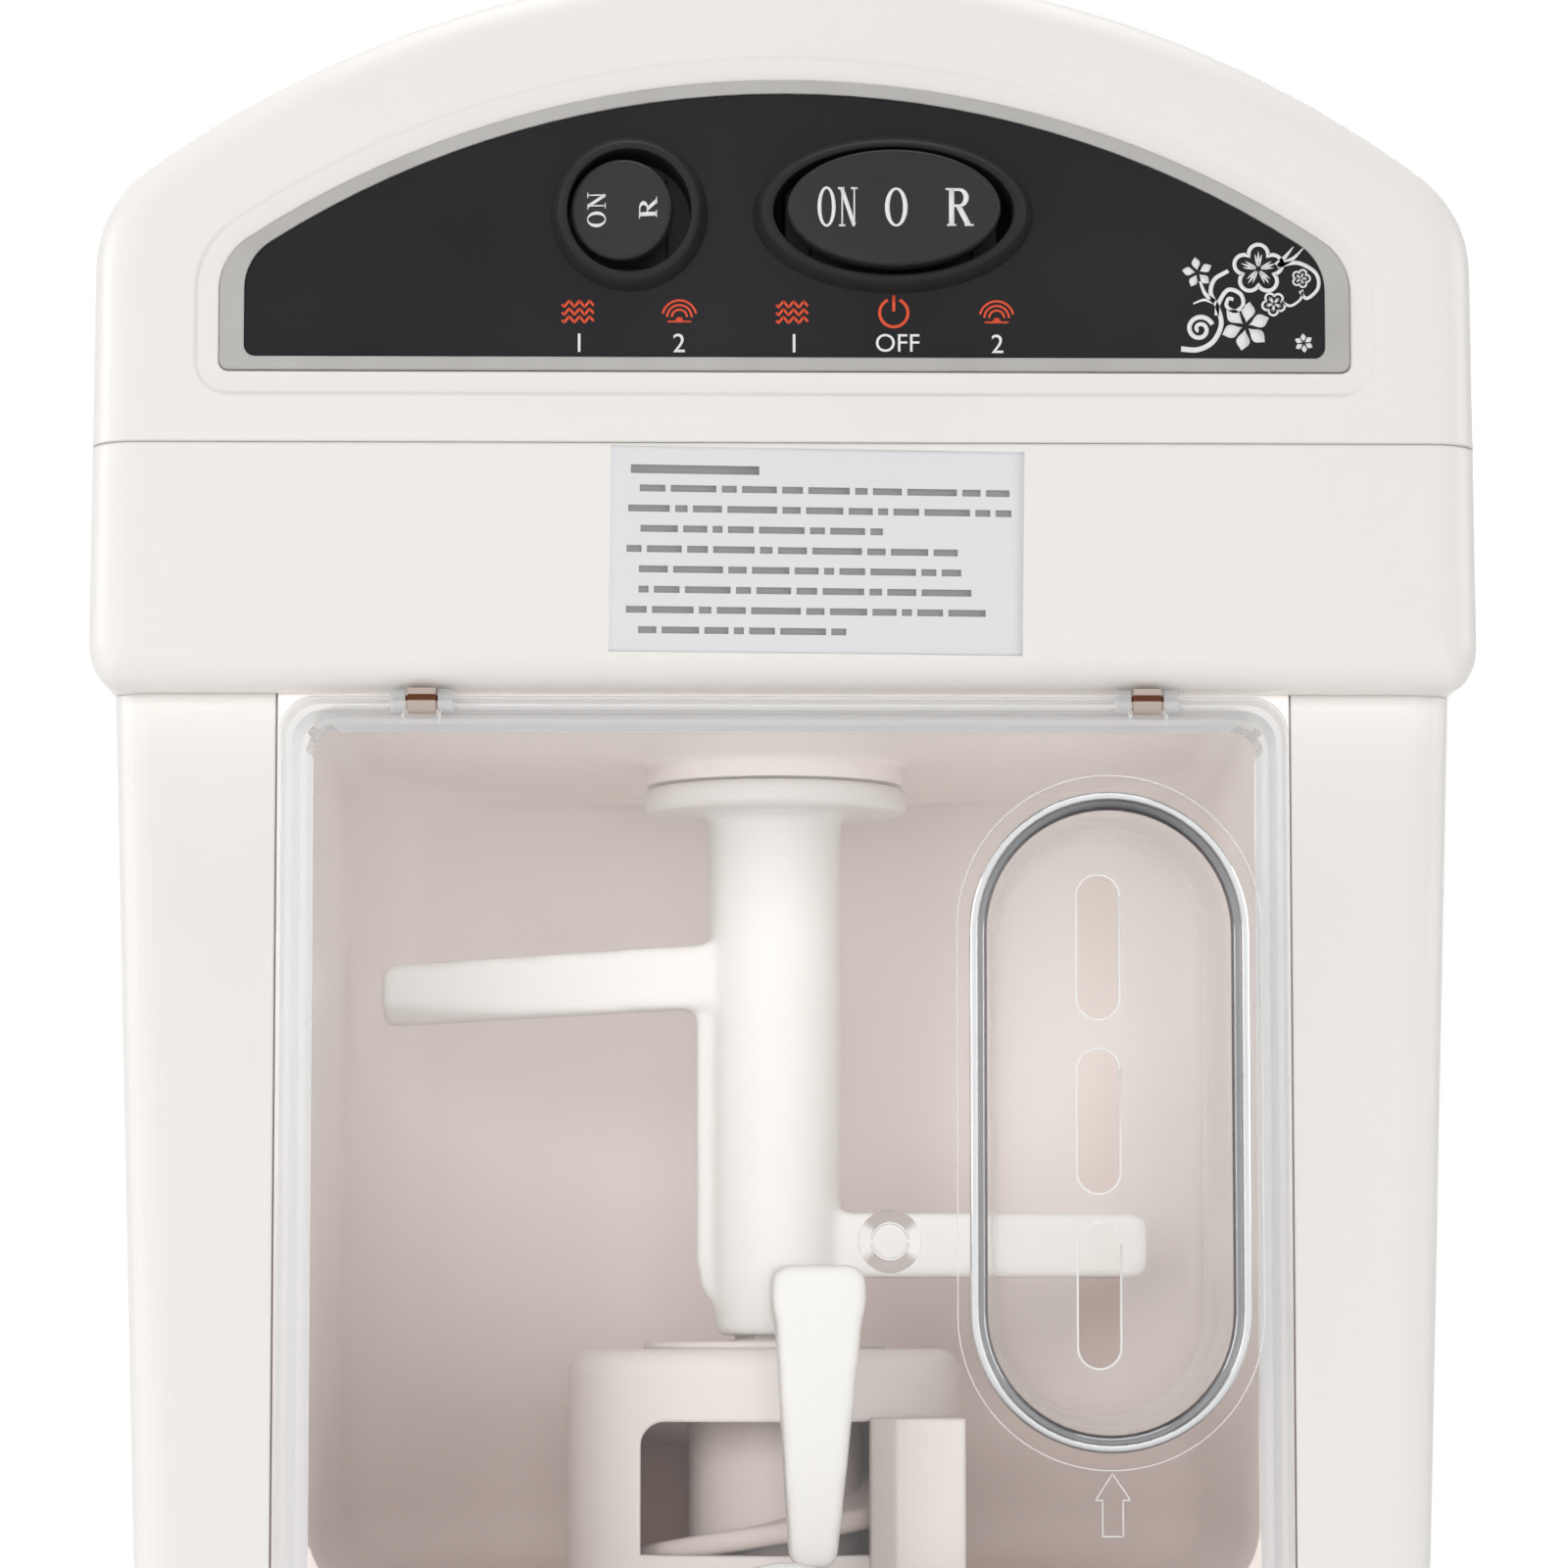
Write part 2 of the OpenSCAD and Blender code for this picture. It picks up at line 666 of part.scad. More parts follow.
// Stands a flat shape in the XZ plane and gives it depth d, backwards from y
module upright(y, d) {
    translate([0, y + d, 0]) rotate([90, 0, 0]) linear_extrude(d) children();
}

// Cylinder along Y, from y backwards over length d
module rod_y(x, y, z, r, d) {
    translate([x, y, z]) rotate([-90, 0, 0]) cylinder(r = r, h = d);
}

// Screw along Z, head down, reaching up by l
module screw_up(l) {
    cylinder(r = screw_head_r, h = 2);
    cylinder(r = screw_r, h = l);
}

// Half width of the housing's outside at height z
function housing_half(z) =
    let (t = (z - base_z) / (head_bottom_z - base_z))
    (housing_base_w + (housing_top_w - housing_base_w) * t) / 2;

module housing_form() {
    mid_y = (housing_back - housing_front) / 2;
    hull() for (z = [base_z, head_bottom_z - 0.02])
        translate([0, mid_y, z]) linear_extrude(0.02)
            rounded(2 * housing_half(z), shell_d, housing_edge_r, $fn = 32);
}

// Tapered block inside the housing, inset from its outside, from y_a to y_b
module housing_block(inset, z_a, z_b, y_a, y_b) {
    upright(y_a, y_b - y_a) polygon([
        [-housing_half(z_a) + inset, z_a], [housing_half(z_a) - inset, z_a],
        [housing_half(z_b) - inset, z_b], [-housing_half(z_b) + inset, z_b]]);
}

// U-shaped column: straight sides in front, half round behind, round the drive axis
module tub_column(r, z_a, z_b, y_front) {
    translate([0, 0, z_a]) linear_extrude(z_b - z_a) {
        translate([0, drive_y]) circle(r);
        translate([-r, y_front]) square([2 * r, drive_y - y_front]);
    }
}

// The same column with its lower edge rounded
module tub_form(r, z_a, z_b, y_front, fillet, top = 0) {
    translate([0, drive_y, z_a]) rotate_extrude(angle = 180) tub_half(r, z_b - z_a, fillet, top);
    translate([0, drive_y, z_a]) rotate([90, 0, 0]) linear_extrude(drive_y - y_front) {
        tub_half(r, z_b - z_a, fillet, top);
        mirror([1, 0]) tub_half(r, z_b - z_a, fillet, top);
    }
}

module tub_half(r, h, fillet, top) {
    square([r - fillet, h]);
    translate([0, fillet]) square([r, h - fillet - top]);
    translate([r - fillet, fillet]) circle(fillet);
    if (top > 0) {
        translate([0, fillet]) square([r - top, h - fillet]);
        translate([r - top, h - top]) circle(top);
    }
}

module bay_block(grow, y_back) {
    w = bay_w + 2 * grow;
    r = bay_r + grow;
    z_a = bay_floor_z - grow;
    h = bay_top_z - bay_floor_z + 2 * grow;
    upright(front_y - eps, y_back - front_y + eps) translate([0, z_a]) {
        translate([-w / 2, 0]) square([w, h - r]);
        translate([-w / 2 + r, 0]) square([w - 2 * r, h]);
        for (s = [-1, 1]) translate([s * (w / 2 - r), h - r]) circle(r);
    }
}

module housing() {
    tub_hole_r = tub_r + tub_wall + slip;
    shelf_z = tub_bottom_z;
    color("#f3f1ec") difference() {
        union() {
            difference() {
                housing_form();
                housing_block(housing_wall, base_z - eps, head_bottom_z + eps,
                    front_y + housing_wall, housing_back + eps);
            }
            intersection() {
                housing_block(housing_wall / 2, base_top_z, head_bottom_z, front_y + 1,
                    housing_back - back_h);
                union() {
                    tub_column(tub_hole_r + inner_skin, shelf_z - inner_skin, head_bottom_z, front_y);
                    bay_block(inner_skin, rear_y - inner_skin + eps);
                    translate([0, drive_y, bay_top_z])
                        cylinder(r = barrel_r + slip + inner_skin, h = shelf_z - bay_top_z);
                    for (p = foot_places) housing_boss(p, base_top_z, base_top_z + 14);
                    for (x = [-1, 1], z = back_levels) back_boss(x, z);
                    for (p = neck_places) housing_boss(p, head_bottom_z - 30, head_bottom_z);
                }
            }
        }
        tub_column(tub_hole_r, shelf_z, head_bottom_z + eps, front_y - eps);
        upright(front_y - eps, 2 + eps) translate([0, (shelf_z + head_bottom_z) / 2])
            square([2 * (tub_hole_r + tub_flange), head_bottom_z - shelf_z + 2 * eps], center = true);
        bay_block(0, rear_y - inner_skin);
        translate([0, drive_y, bay_top_z - eps])
            cylinder(r = barrel_r + slip, h = shelf_z - bay_top_z + 2 * eps);
        upright(front_y - eps, housing_wall + 2 * eps) translate([0, lock_z])
            translate([-cam_w / 2 - 1, -cam_w / 2 - 1]) square([cam_w / 2 + cam_l + 2, cam_w + 2]);
        for (p = foot_places) translate([p[0], p[1], base_top_z - eps]) cylinder(r = screw_r, h = 12);
        for (x = [-1, 1], z = back_levels)
            rod_y(x * back_screw_x(z), housing_back - back_h - 12, z, screw_r, 13);
        for (p = neck_places) translate([p[0], p[1], head_bottom_z - 14]) cylinder(r = screw_r, h = 15);
    }
}

// Round boss with a rib to the nearest side wall
module housing_boss(p, z_a, z_b) {
    translate([p[0], p[1], z_a]) cylinder(r = boss_r, h = z_b - z_a);
    reach = housing_half(z_a);
    translate([p[0] > 0 ? p[0] : -reach, p[1] - 1, z_a]) cube([reach - abs(p[0]), 2, z_b - z_a]);
}

function back_screw_x(z) = housing_half(z) - housing_wall - boss_r + 0.5;

module back_boss(side, z) {
    rod_y(side * back_screw_x(z), housing_back - back_h - 16, z, boss_r, 16);
}

module base_plate() {
    color("#e9e7e2") {
        difference() {
            housing_block(housing_wall + slip, base_z, base_top_z, front_y + housing_wall + slip,
                housing_back - back_h);
            for (p = foot_places) translate([p[0], p[1], base_z - eps])
                cylinder(r = screw_r + 0.2, h = base_h + 2 * eps);
            for (i = [-4:4]) translate([i * 10 - 2, rear_y + 12, base_z - eps])
                cube([4, 60, base_h + 2 * eps]);
        }
        for (x = [6, board_w - 6], y = [6, board_l - 4])
            translate([x - board_left, rear_y + y, base_top_z - eps]) cylinder(r = 3, h = standoff_h + eps);
    }
}

module rubber_feet() {
    color("#55565a") for (p = foot_places) translate([p[0], p[1], 0]) rotate_extrude() difference() {
        union() {
            square([foot_r - 1.5, foot_h]);
            translate([0, 1.5]) square([foot_r, foot_h - 1.5]);
            translate([foot_r - 1.5, 1.5]) circle(1.5);
        }
        translate([0, -eps]) square([screw_head_r + slip, 3 + eps]);
        square([screw_r + 0.2, foot_h + eps]);
    }
}

module foot_screws() {
    color("#b9bbbe") for (p = foot_places) translate([p[0], p[1], 1]) screw_up(base_top_z + 9);
}

module back_cover() {
    field_w = vent_w + 16;
    field_h = vent_count * vent_step + 10;
    color("#efede8") difference() {
        union() {
            housing_block(housing_wall + slip, base_z, head_bottom_z - slip, housing_back - back_h,
                housing_back);
            upright(housing_back - eps, vent_proud + eps) translate([0, vent_z]) rounded(field_w, field_h, 6);
        }
        upright(housing_back - back_h - eps, back_h + vent_proud - 2 + eps)
            translate([0, vent_z]) rounded(field_w - 5, field_h - 5, 4);
        for (i = [0:vent_count - 1])
            translate([0, housing_back - back_h - eps, vent_z + (i - (vent_count - 1) / 2) * vent_step])
                translate([-vent_w / 2, 0, -vent_slot / 2])
                    cube([vent_w, back_h + vent_proud + 2 * eps, vent_slot]);
        translate([inlet_at[0] - inlet_w / 2 - slip, housing_back - back_h - eps,
            inlet_at[1] - inlet_h / 2 - slip])
            cube([inlet_w + 2 * slip, back_h + 2 * eps, inlet_h + 2 * slip]);
        for (x = [-1, 1], z = back_levels)
            rod_y(x * back_screw_x(z), housing_back - back_h - eps, z, screw_r + 0.2, back_h + 2 * eps);
    }
}

module back_screws() {
    color("#b9bbbe") for (x = [-1, 1], z = back_levels) {
        rod_y(x * back_screw_x(z), housing_back, z, screw_head_r, 1.8);
        rod_y(x * back_screw_x(z), housing_back - back_h - 10, z, screw_r, back_h + 11);
    }
}

// Outside of the whole head: arched rings from front to back, the first and last
// few on quarter circles that roll its front and back edges over
function head_ring(turn, side) =
    let (back = head_edge_r * (1 - cos(turn)))
    [for (p = head_outline(head_edge_r * (1 - sin(turn))))
        [p[0], side < 0 ? -head_front + back : head_back - back, p[1]]];

module head_form() {
    rolls = 6;
    rings = concat([for (i = [0:rolls]) head_ring(90 * i / rolls, -1)],
        [for (i = [rolls:-1:0]) head_ring(90 * i / rolls, 1)]);
    n = len(rings[0]);
    last = n * (len(rings) - 1);
    skin = [for (i = [0:len(rings) - 2], k = [0:n - 1])
        let (a = i * n + k, b = i * n + (k + 1) % n)
        each [[a, b, b + n], [a, b + n, a + n]]];
    polyhedron([for (r = rings) each r],
        concat([[for (k = [n - 1:-1:0]) k]], skin, [[for (k = [0:n - 1]) last + k]]));
}

module head_slab(z_a, z_b) {
    translate([-head_w, -head_front - eps, z_a])
        cube([2 * head_w, head_front + head_back + 2 * eps, z_b - z_a]);
}

module head_room(inset, z_a, z_b) {
    translate([0, (head_back - head_front) / 2, z_a]) linear_extrude(z_b - z_a)
        rounded(head_w - 2 * inset, head_front + head_back - 2 * inset, 6);
}

head_boss_x = head_w / 2 - head_wall - boss_r + 0.8;
head_boss_places = [for (x = [-1, 1], y = [-head_front + 16, head_back - 16]) [x * head_boss_x, y]];
neck_places = [for (x = [-1, 1],
    y = [front_y + 14, housing_back - 26]) [x * (housing_half(head_bottom_z) - 11), y]];

module head_band() {
    neck_w = 2 * housing_half(head_bottom_z) - 0.2;
    color("#f3f1ec") difference() {
        union() {
            intersection() {
                head_form();
                head_slab(head_bottom_z - eps, head_seam_z);
            }
            translate([0, (housing_back - housing_front) / 2, head_bottom_z]) linear_extrude(2)
                rounded(neck_w, shell_d - 0.2, housing_edge_r);
        }
        head_room(head_wall + head_lower_w, plate_z, head_seam_z + eps);
        difference() {
            head_room(head_wall, plate_z + head_lower_w, head_seam_z + eps);
            for (p = head_boss_places) translate([p[0], p[1], head_bottom_z])
                cylinder(r = boss_r, h = head_seam_z - head_bottom_z);
        }
        translate([0, drive_y, head_bottom_z - eps]) cylinder(r = bearing_r + 2, h = head_wall + 2 * eps);
        translate([0, motor_y, head_bottom_z - eps]) linear_extrude(head_wall + 2 * eps)
            rounded(stator_w + 2, stator_w + 2, 6);
        for (p = head_boss_places) {
            translate([p[0], p[1], head_bottom_z - eps])
                cylinder(r = screw_head_r + slip, h = head_screw_z - head_bottom_z + eps);
            translate([p[0], p[1], head_screw_z - 1]) cylinder(r = screw_r + 0.2, h = head_screw_grip + 10);
        }
        for (p = neck_places) translate([p[0], p[1], head_bottom_z - eps])
            cylinder(r = screw_r + 0.2, h = head_wall + 2 * eps);
    }
}

module head_cover() {
    color("#f3f1ec") difference() {
        union() {
            difference() {
                intersection() {
                    head_form();
                    head_slab(head_seam_z, head_top_z + 1);
                }
                upright(-head_front + head_wall, head_front + head_back - 2 * head_wall)
                    polygon(head_outline(head_wall));
            }
            intersection() {
                head_slab(head_seam_z, head_seam_z + 14);
                for (p = head_boss_places) translate([p[0], p[1], head_seam_z]) cylinder(r = boss_r, h = 14);
            }
        }
        upright(face_y - 1, 1.4) polygon(trim_outline(rebate));
        upright(face_y - eps, panel_pocket + eps) polygon(trim_outline(0.15));
        rod_y(round_x, face_y - eps, switch_z, round_hole_r + tube_wall + 0.15, head_wall + 2 * eps);
        upright(face_y - eps, head_wall + 2 * eps) translate([oval_x, switch_z])
            polygon(ellipse_points(oval_hole_a + tube_wall + 0.15, oval_hole_b + tube_wall + 0.15));
        for (p = head_boss_places) translate([p[0], p[1], head_seam_z - eps]) cylinder(r = screw_r, h = 12);
    }
}

module head_screws() {
    color("#b9bbbe") {
        for (p = head_boss_places) translate([p[0], p[1], head_screw_z - 2]) screw_up(head_screw_grip + 12);
        for (p = neck_places) translate([p[0], p[1], plate_z + 2]) mirror([0, 0, 1]) screw_up(14);
    }
}

module mixing_tub() {
    color("#e8deda") difference() {
        union() {
            tub_form(tub_r + tub_wall, tub_bottom_z, head_bottom_z, front_y, tub_fillet + tub_wall);
            upright(front_y, 2) translate([0, (tub_bottom_z + head_bottom_z) / 2])
                square([2 * (tub_r + tub_wall + tub_flange), head_bottom_z - tub_bottom_z], center = true);
        }
        difference() {
            tub_form(tub_r, tub_floor_z, ceiling_z, front_y - eps, tub_fillet, ceiling_fillet);
            translate([0, drive_y, ceiling_z]) rotate_extrude() {
                translate([0, -ceiling_boss_h]) square([ceiling_boss_r, ceiling_boss_h + eps]);
                difference() {
                    translate([ceiling_boss_r - eps, -boss_fillet]) square([boss_fillet, boss_fillet + eps]);
                    translate([ceiling_boss_r + boss_fillet, -boss_fillet]) circle(boss_fillet);
                }
            }
        }
        translate([0, drive_y, tub_bottom_z - eps]) cylinder(r = barrel_r + slip, h = tub_wall + 2 * eps);
        translate([0, drive_y, ceiling_z - ceiling_boss_h - eps]) cylinder(r = seal_r, h = 10);
    }
}

seal_r = 11;

module shaft_seal() {
    color("#3b3b3d") translate([0, drive_y, ceiling_z - ceiling_boss_h + 0.4]) difference() {
        cylinder(r = seal_r, h = head_bottom_z - ceiling_z + ceiling_boss_h - 0.4);
        translate([0, 0, -eps]) cylinder(r = shaft_r + run, h = 12);
        translate([0, 0, 2]) cylinder(r = seal_r - 2, h = 12);
    }
}

module screw_barrel() {
    bore_top_z = feed_top_z - feed_plate;
    wall_y = drive_y - scraper_reach;
    color("#e3ddd9") difference() {
        union() {
            translate([-feed_shift, drive_y, 0]) rotate_extrude() {
                translate([0, tub_floor_z]) square([feed_r, feed_top_z - feed_edge_r - tub_floor_z]);
                translate([0, tub_floor_z]) square([feed_r - feed_edge_r, feed_top_z - tub_floor_z]);
                translate([feed_r - feed_edge_r, feed_top_z - feed_edge_r]) circle(feed_edge_r);
            }
            translate([0, drive_y, barrel_bottom_z])
                cylinder(r = barrel_r, h = tub_floor_z - barrel_bottom_z + eps);
            translate([0, 0, tub_floor_z]) linear_extrude(window_top_z + 0.6 - tub_floor_z) polygon([
                [scraper_x, drive_y - barrel_bore_r], [scraper_x, wall_y + 5], [scraper_x + 4.1, wall_y],
                [scraper_x + scraper_w, wall_y], [scraper_x + scraper_w, drive_y - 8],
                [barrel_bore_r - 1, drive_y - 10]]);
        }
        translate([0, drive_y, barrel_bottom_z - eps])
            cylinder(r = barrel_bore_r, h = bore_top_z - barrel_bottom_z + eps);
        translate([0, drive_y, bore_top_z - eps]) cylinder(r = neck_r + run, h = feed_plate + 2 * eps);
        feed_window();
    }
}

// Window that lets dough fall into the screw
module feed_window() {
    w = window_left + scraper_x;
    h = window_top_z - window_bottom_z;
    upright(drive_y - feed_r - eps, feed_r - 4) translate([-window_left, window_bottom_z]) {
        square([w, h - window_r]);
        translate([window_r, 0]) square([w - window_r, h]);
        translate([window_r, h - window_r]) circle(window_r);
    }
}

module barrel_washer() {
    color("#f4f2ef") translate([0, drive_y, feed_top_z]) difference() {
        translate([-feed_shift, 0, 0]) cylinder(r = washer_r, h = washer_h);
        translate([0, 0, -eps]) cylinder(r = neck_r + run, h = washer_h + 2 * eps);
    }
}

module panel_trim() {
    color("#c8c5c2") upright(face_y - trim_proud, trim_proud + panel_pocket) difference() {
        polygon(trim_outline());
        polygon(panel_outline());
    }
}

module control_panel() {
    color("#2b2c30") difference() {
        upright(panel_y, panel_floor_y - panel_y) polygon(panel_outline(0.1));
        rod_y(round_x, panel_y - eps, switch_z, round_hole_r + tube_wall + 0.15, 5);
        upright(panel_y - eps, 5) translate([oval_x, switch_z])
            polygon(ellipse_points(oval_hole_a + tube_wall + 0.15, oval_hole_b + tube_wall + 0.15));
    }
}

module round_bezel() {
    color("#26272a") translate([round_x, 0, switch_z]) difference() {
        union() {
            translate([0, panel_y, 0]) rotate([90, 0, 0])
                cylinder(r1 = round_bezel_r, r2 = round_bezel_r - 1.6, h = bezel_proud);
            rod_y(0, panel_y, 0, round_hole_r + tube_wall, tube_back_y - panel_y);
        }
        rod_y(0, bezel_y - eps, 0, round_hole_r, tube_back_y - bezel_y - 1.5);
        translate([0, pivot_y, -round_hole_r - tube_wall - 1])
            cylinder(r = pivot_r + run, h = 2 * (round_hole_r + tube_wall + 1));
    }
}

module round_rocker() {
    swing_y = pivot_y - bezel_y + 0.4;
    color("#2e2f33") translate([round_x, pivot_y, switch_z]) rotate([0, 0, -round_tilt]) {
        rod_y(0, -swing_y, 0, round_face_r, 2.6);
        rod_y(0, -swing_y + 2, 0, round_face_r - 2.2, swing_y - 0.5);
        translate([0, 0, -round_hole_r - 1.2]) cylinder(r = pivot_r, h = 2 * (round_hole_r + 1.2));
    }
}

module oval_bezel() {
    color("#26272a") translate([oval_x, 0, switch_z]) difference() {
        union() {
            for (k = [0:3]) upright(bezel_y + k * bezel_proud / 4, bezel_proud * (4 - k) / 4)
                polygon(ellipse_points(oval_bezel_a - 1.6 + 0.4 * (k + 1),
                    oval_bezel_b - 1.6 + 0.4 * (k + 1)));
            upright(panel_y, tube_back_y - panel_y)
                polygon(ellipse_points(oval_hole_a + tube_wall, oval_hole_b + tube_wall));
        }
        upright(bezel_y - eps, tube_back_y - bezel_y - 1.5) polygon(ellipse_points(oval_hole_a, oval_hole_b));
        translate([0, pivot_y, -oval_hole_b - tube_wall - 1])
            cylinder(r = pivot_r + run, h = 2 * (oval_hole_b + tube_wall + 1));
    }
}

module oval_rocker() {
    swing_y = pivot_y - bezel_y + oval_proud;
    color("#2e2f33") translate([oval_x, pivot_y, switch_z]) {
        upright(-swing_y, 1.2) polygon(ellipse_points(oval_face_a - 0.5, oval_face_b - 0.5));
        upright(-swing_y + 0.6, 4.4) polygon(ellipse_points(oval_face_a, oval_face_b));
        upright(-swing_y + 4, swing_y - 3.5) polygon(ellipse_points(oval_face_a - 5, oval_face_b - 1.6));
        translate([0, 0, -oval_hole_b - 1.2]) cylinder(r = pivot_r, h = 2 * (oval_hole_b + 1.2));
    }
}

// Closed switch block with flat terminals at the back
module switch_block(w, h) {
    difference() {
        upright(0, 20) rounded(w, h, 2);
        upright(-eps, 1) square([w - 8, h - 8], center = true);
    }
    for (x = [-w / 4, w / 4], z = [-h / 4, h / 4])
        translate([x - 2.4, 20 - eps, z - 0.4]) cube([4.8, 8, 0.8]);
}

module round_switch_body() {
    color("#1f2022") translate([round_x, tube_back_y, switch_z]) switch_block(20, 22);
}

module oval_switch_body() {
    color("#1f2022") translate([oval_x, tube_back_y, switch_z]) switch_block(34, 22);
}

// Two hooks under the head's front edge, whose pins carry the clear cover
module hinge_hooks() {
    tab_w = notch_w - 2 * 0.4;
    color("#e9e4df") for (s = [-1, 1]) translate([s * hook_x, 0, 0]) {
        translate([tab_w / 2, 0, 0]) rotate([0, -90, 0]) linear_extrude(tab_w) {
            translate([hinge_z, hinge_y]) circle(lug_r - 0.2);
            translate([hinge_z, hinge_y]) square([head_bottom_z - hinge_z, front_y - 0.4 - hinge_y]);
            translate([hinge_z, hinge_y - lug_r + 0.2]) square([head_bottom_z - hinge_z, lug_r]);
        }
        translate([-tab_w / 2 - lug_w, hinge_y, hinge_z]) rotate([0, 90, 0])
            cylinder(r = hinge_pin_r, h = tab_w + 2 * lug_w);
    }
}

module cover_form(inset, y_back, y_face) {
    hull() for (k = [0, 1]) {
        y = k == 0 ? y_back : y_face;
        f = (cover_back_y - y) / cover_depth;
        half = cover_w / 2 - inset - cover_slope * f;
        top = cover_top_z - inset - cover_top_slope * f;
        low = cover_bottom_z + inset + cover_top_slope * f;
        r = (k == 0 ? cover_r : cover_face_r) - inset / 2;
        translate([0, y, (top + low) / 2]) rotate([90, 0, 0]) linear_extrude(0.02)
            rounded(2 * half, top - low, r, $fn = 32);
    }
}

module front_cover() {
    color("#cfdde0", 0.35) difference() {
        union() {
            difference() {
                cover_form(0, cover_back_y, cover_face_y + 0.02);
                cover_form(cover_wall, cover_back_y + eps, cover_face_y + cover_wall);
            }
            for (s = [-1, 1], t = [-1, 1])
                translate([s * hook_x + t * (notch_w + lug_w) / 2 - lug_w / 2, hinge_y, hinge_z])
                    rotate([0, 90, 0]) cylinder(r = lug_r, h = lug_w);
            rod_y(0, cover_face_y, lock_z, stem_r + 3, cover_wall + 2);
        }
        for (s = [-1, 1]) {
            translate([s * hook_x - notch_w / 2, hinge_y - lug_r - 1.2, hinge_z - lug_r - 0.2])
                cube([notch_w, cover_depth, 2 * lug_r + 4]);
            translate([s * hook_x - notch_w / 2 - lug_w - eps, hinge_y, hinge_z]) rotate([0, 90, 0])
                cylinder(r = hinge_pin_r + run, h = notch_w + 2 * lug_w + 2 * eps);
        }
        upright(cover_face_y - eps, cover_wall + 3) translate([port_x, port_z])
            racetrack(port_w - 2 * port_ring + 0.3, port_h - 2 * port_ring + 0.3);
        rod_y(0, cover_face_y - eps, lock_z, stem_r + run, cover_wall + 3);
        rod_y(dimple_x, cover_face_y - eps, dimple_z, dimple_r, 0.8);
    }
}

module fill_port_cup() {
    color("#d7e1e3", 0.35) difference() {
        union() {
            upright(cover_face_y - 1.4, 1.4) translate([port_x, port_z]) racetrack(port_w, port_h);
            upright(cover_face_y - 1.4, port_depth + 1.4) translate([port_x, port_z])
                racetrack(port_w - 2 * port_ring, port_h - 2 * port_ring);
        }
        upright(cover_face_y - 1.5, port_depth - port_wall + 1.5) translate([port_x, port_z])
            racetrack(port_w - 2 * port_ring - 2 * port_wall, port_h - 2 * port_ring - 2 * port_wall);
        for (i = [0:slot_count - 1])
            upright(port_floor_y - port_wall - eps, port_wall + 2 * eps)
                translate([port_x, port_z + 1 + (i - (slot_count - 1) / 2) * slot_step])
                    racetrack(slot_w, slot_l);
    }
}

magnet_at = [cover_w / 2 - magnet_setin, cover_bottom_z + magnet_rise];

module cover_magnet() {
    color("#8f9296") rod_y(magnet_at[0], cover_face_y + cover_wall, magnet_at[1], 5, 3);
}

module reed_switch() {
    color("#3a3f3c") translate([magnet_at[0] - 8, front_y + housing_wall, magnet_at[1] - 5])
        cube([16, 7, 10]);
}

module lock_knob() {
    grip_w = 6;
    front = cover_face_y - knob_h;
    color("#f1f0ee") {
        difference() {
            union() {
                rod_y(0, front + 4, lock_z, knob_r, knob_h - 4 - slip);
                rod_y(0, front + 2.2, lock_z, knob_r - 1.5, 3);
                rod_y(0, front, lock_z, knob_r - 1.5 - knob_ring_w - 2.2, 4);
            }
            for (s = [-1, 1]) translate([s > 0 ? grip_w / 2 : -knob_r, front - eps, lock_z - knob_r])
                cube([knob_r - grip_w / 2, 1.6, 2 * knob_r]);
        }
        rod_y(0, cover_face_y - slip - eps, lock_z, stem_r, cover_wall + 2 + slip + eps);
        rod_y(0, cover_face_y, lock_z, 3, cam_y - cover_face_y);
        upright(cam_y - eps, cam_t - slip) translate([0, lock_z]) square([4, 4], center = true);
    }
}

module lock_knob_ring() {
    r = knob_r - 1.5;
    color("#b5b7ba") translate([0, cover_face_y - knob_h + 2.2, lock_z]) rotate([90, 0, 0]) difference() {
        cylinder(r = r, h = 0.8);
        translate([0, 0, -eps]) cylinder(r = r - knob_ring_w, h = 1);
    }
}

module lock_cam() {
    color("#dcdad6") upright(cam_y, cam_t) translate([0, lock_z]) difference() {
        union() {
            circle(cam_w / 2);
            translate([0, -cam_w / 2]) square([cam_l - 2, cam_w]);
            translate([0, -cam_w / 2 + 2]) square([cam_l, cam_w - 4]);
        }
        square([4.1, 4.1], center = true);
    }
}

module gear_plate_outline(y_a, y_b) {
    translate([0, (y_a + y_b) / 2]) rounded(2 * gear_plate_half_w, y_b - y_a, 8);
}

module lower_gear_plate() {
    color("#aeb1b5") translate([0, 0, plate_z]) difference() {
        union() {
            linear_extrude(gear_plate_h)
                gear_plate_outline(drive_y - gear_plate_ahead, motor_y + stator_w / 2);
            translate([0, drive_y, 0]) cylinder(r = bearing_r + 2, h = gear_plate_h + bearing_h - 1);
        }
        translate([0, drive_y, -eps]) cylinder(r = bearing_r - 2, h = 2);
        translate([0, drive_y, 1.5]) cylinder(r = bearing_r, h = 20);
        translate([0, motor_y, -eps]) cylinder(r = 12, h = 20);
        for (p = [second_at, first_at]) translate([p[0], p[1], -eps]) cylinder(r = gear_pin_r, h = 20);
        for (x = [-1, 1], y = [-1, 1]) translate([x * bolt_at, motor_y + y * bolt_at, -eps])
            cylinder(r = screw_r, h = 20);
    }
}

bolt_at = stator_w / 2 - 6;

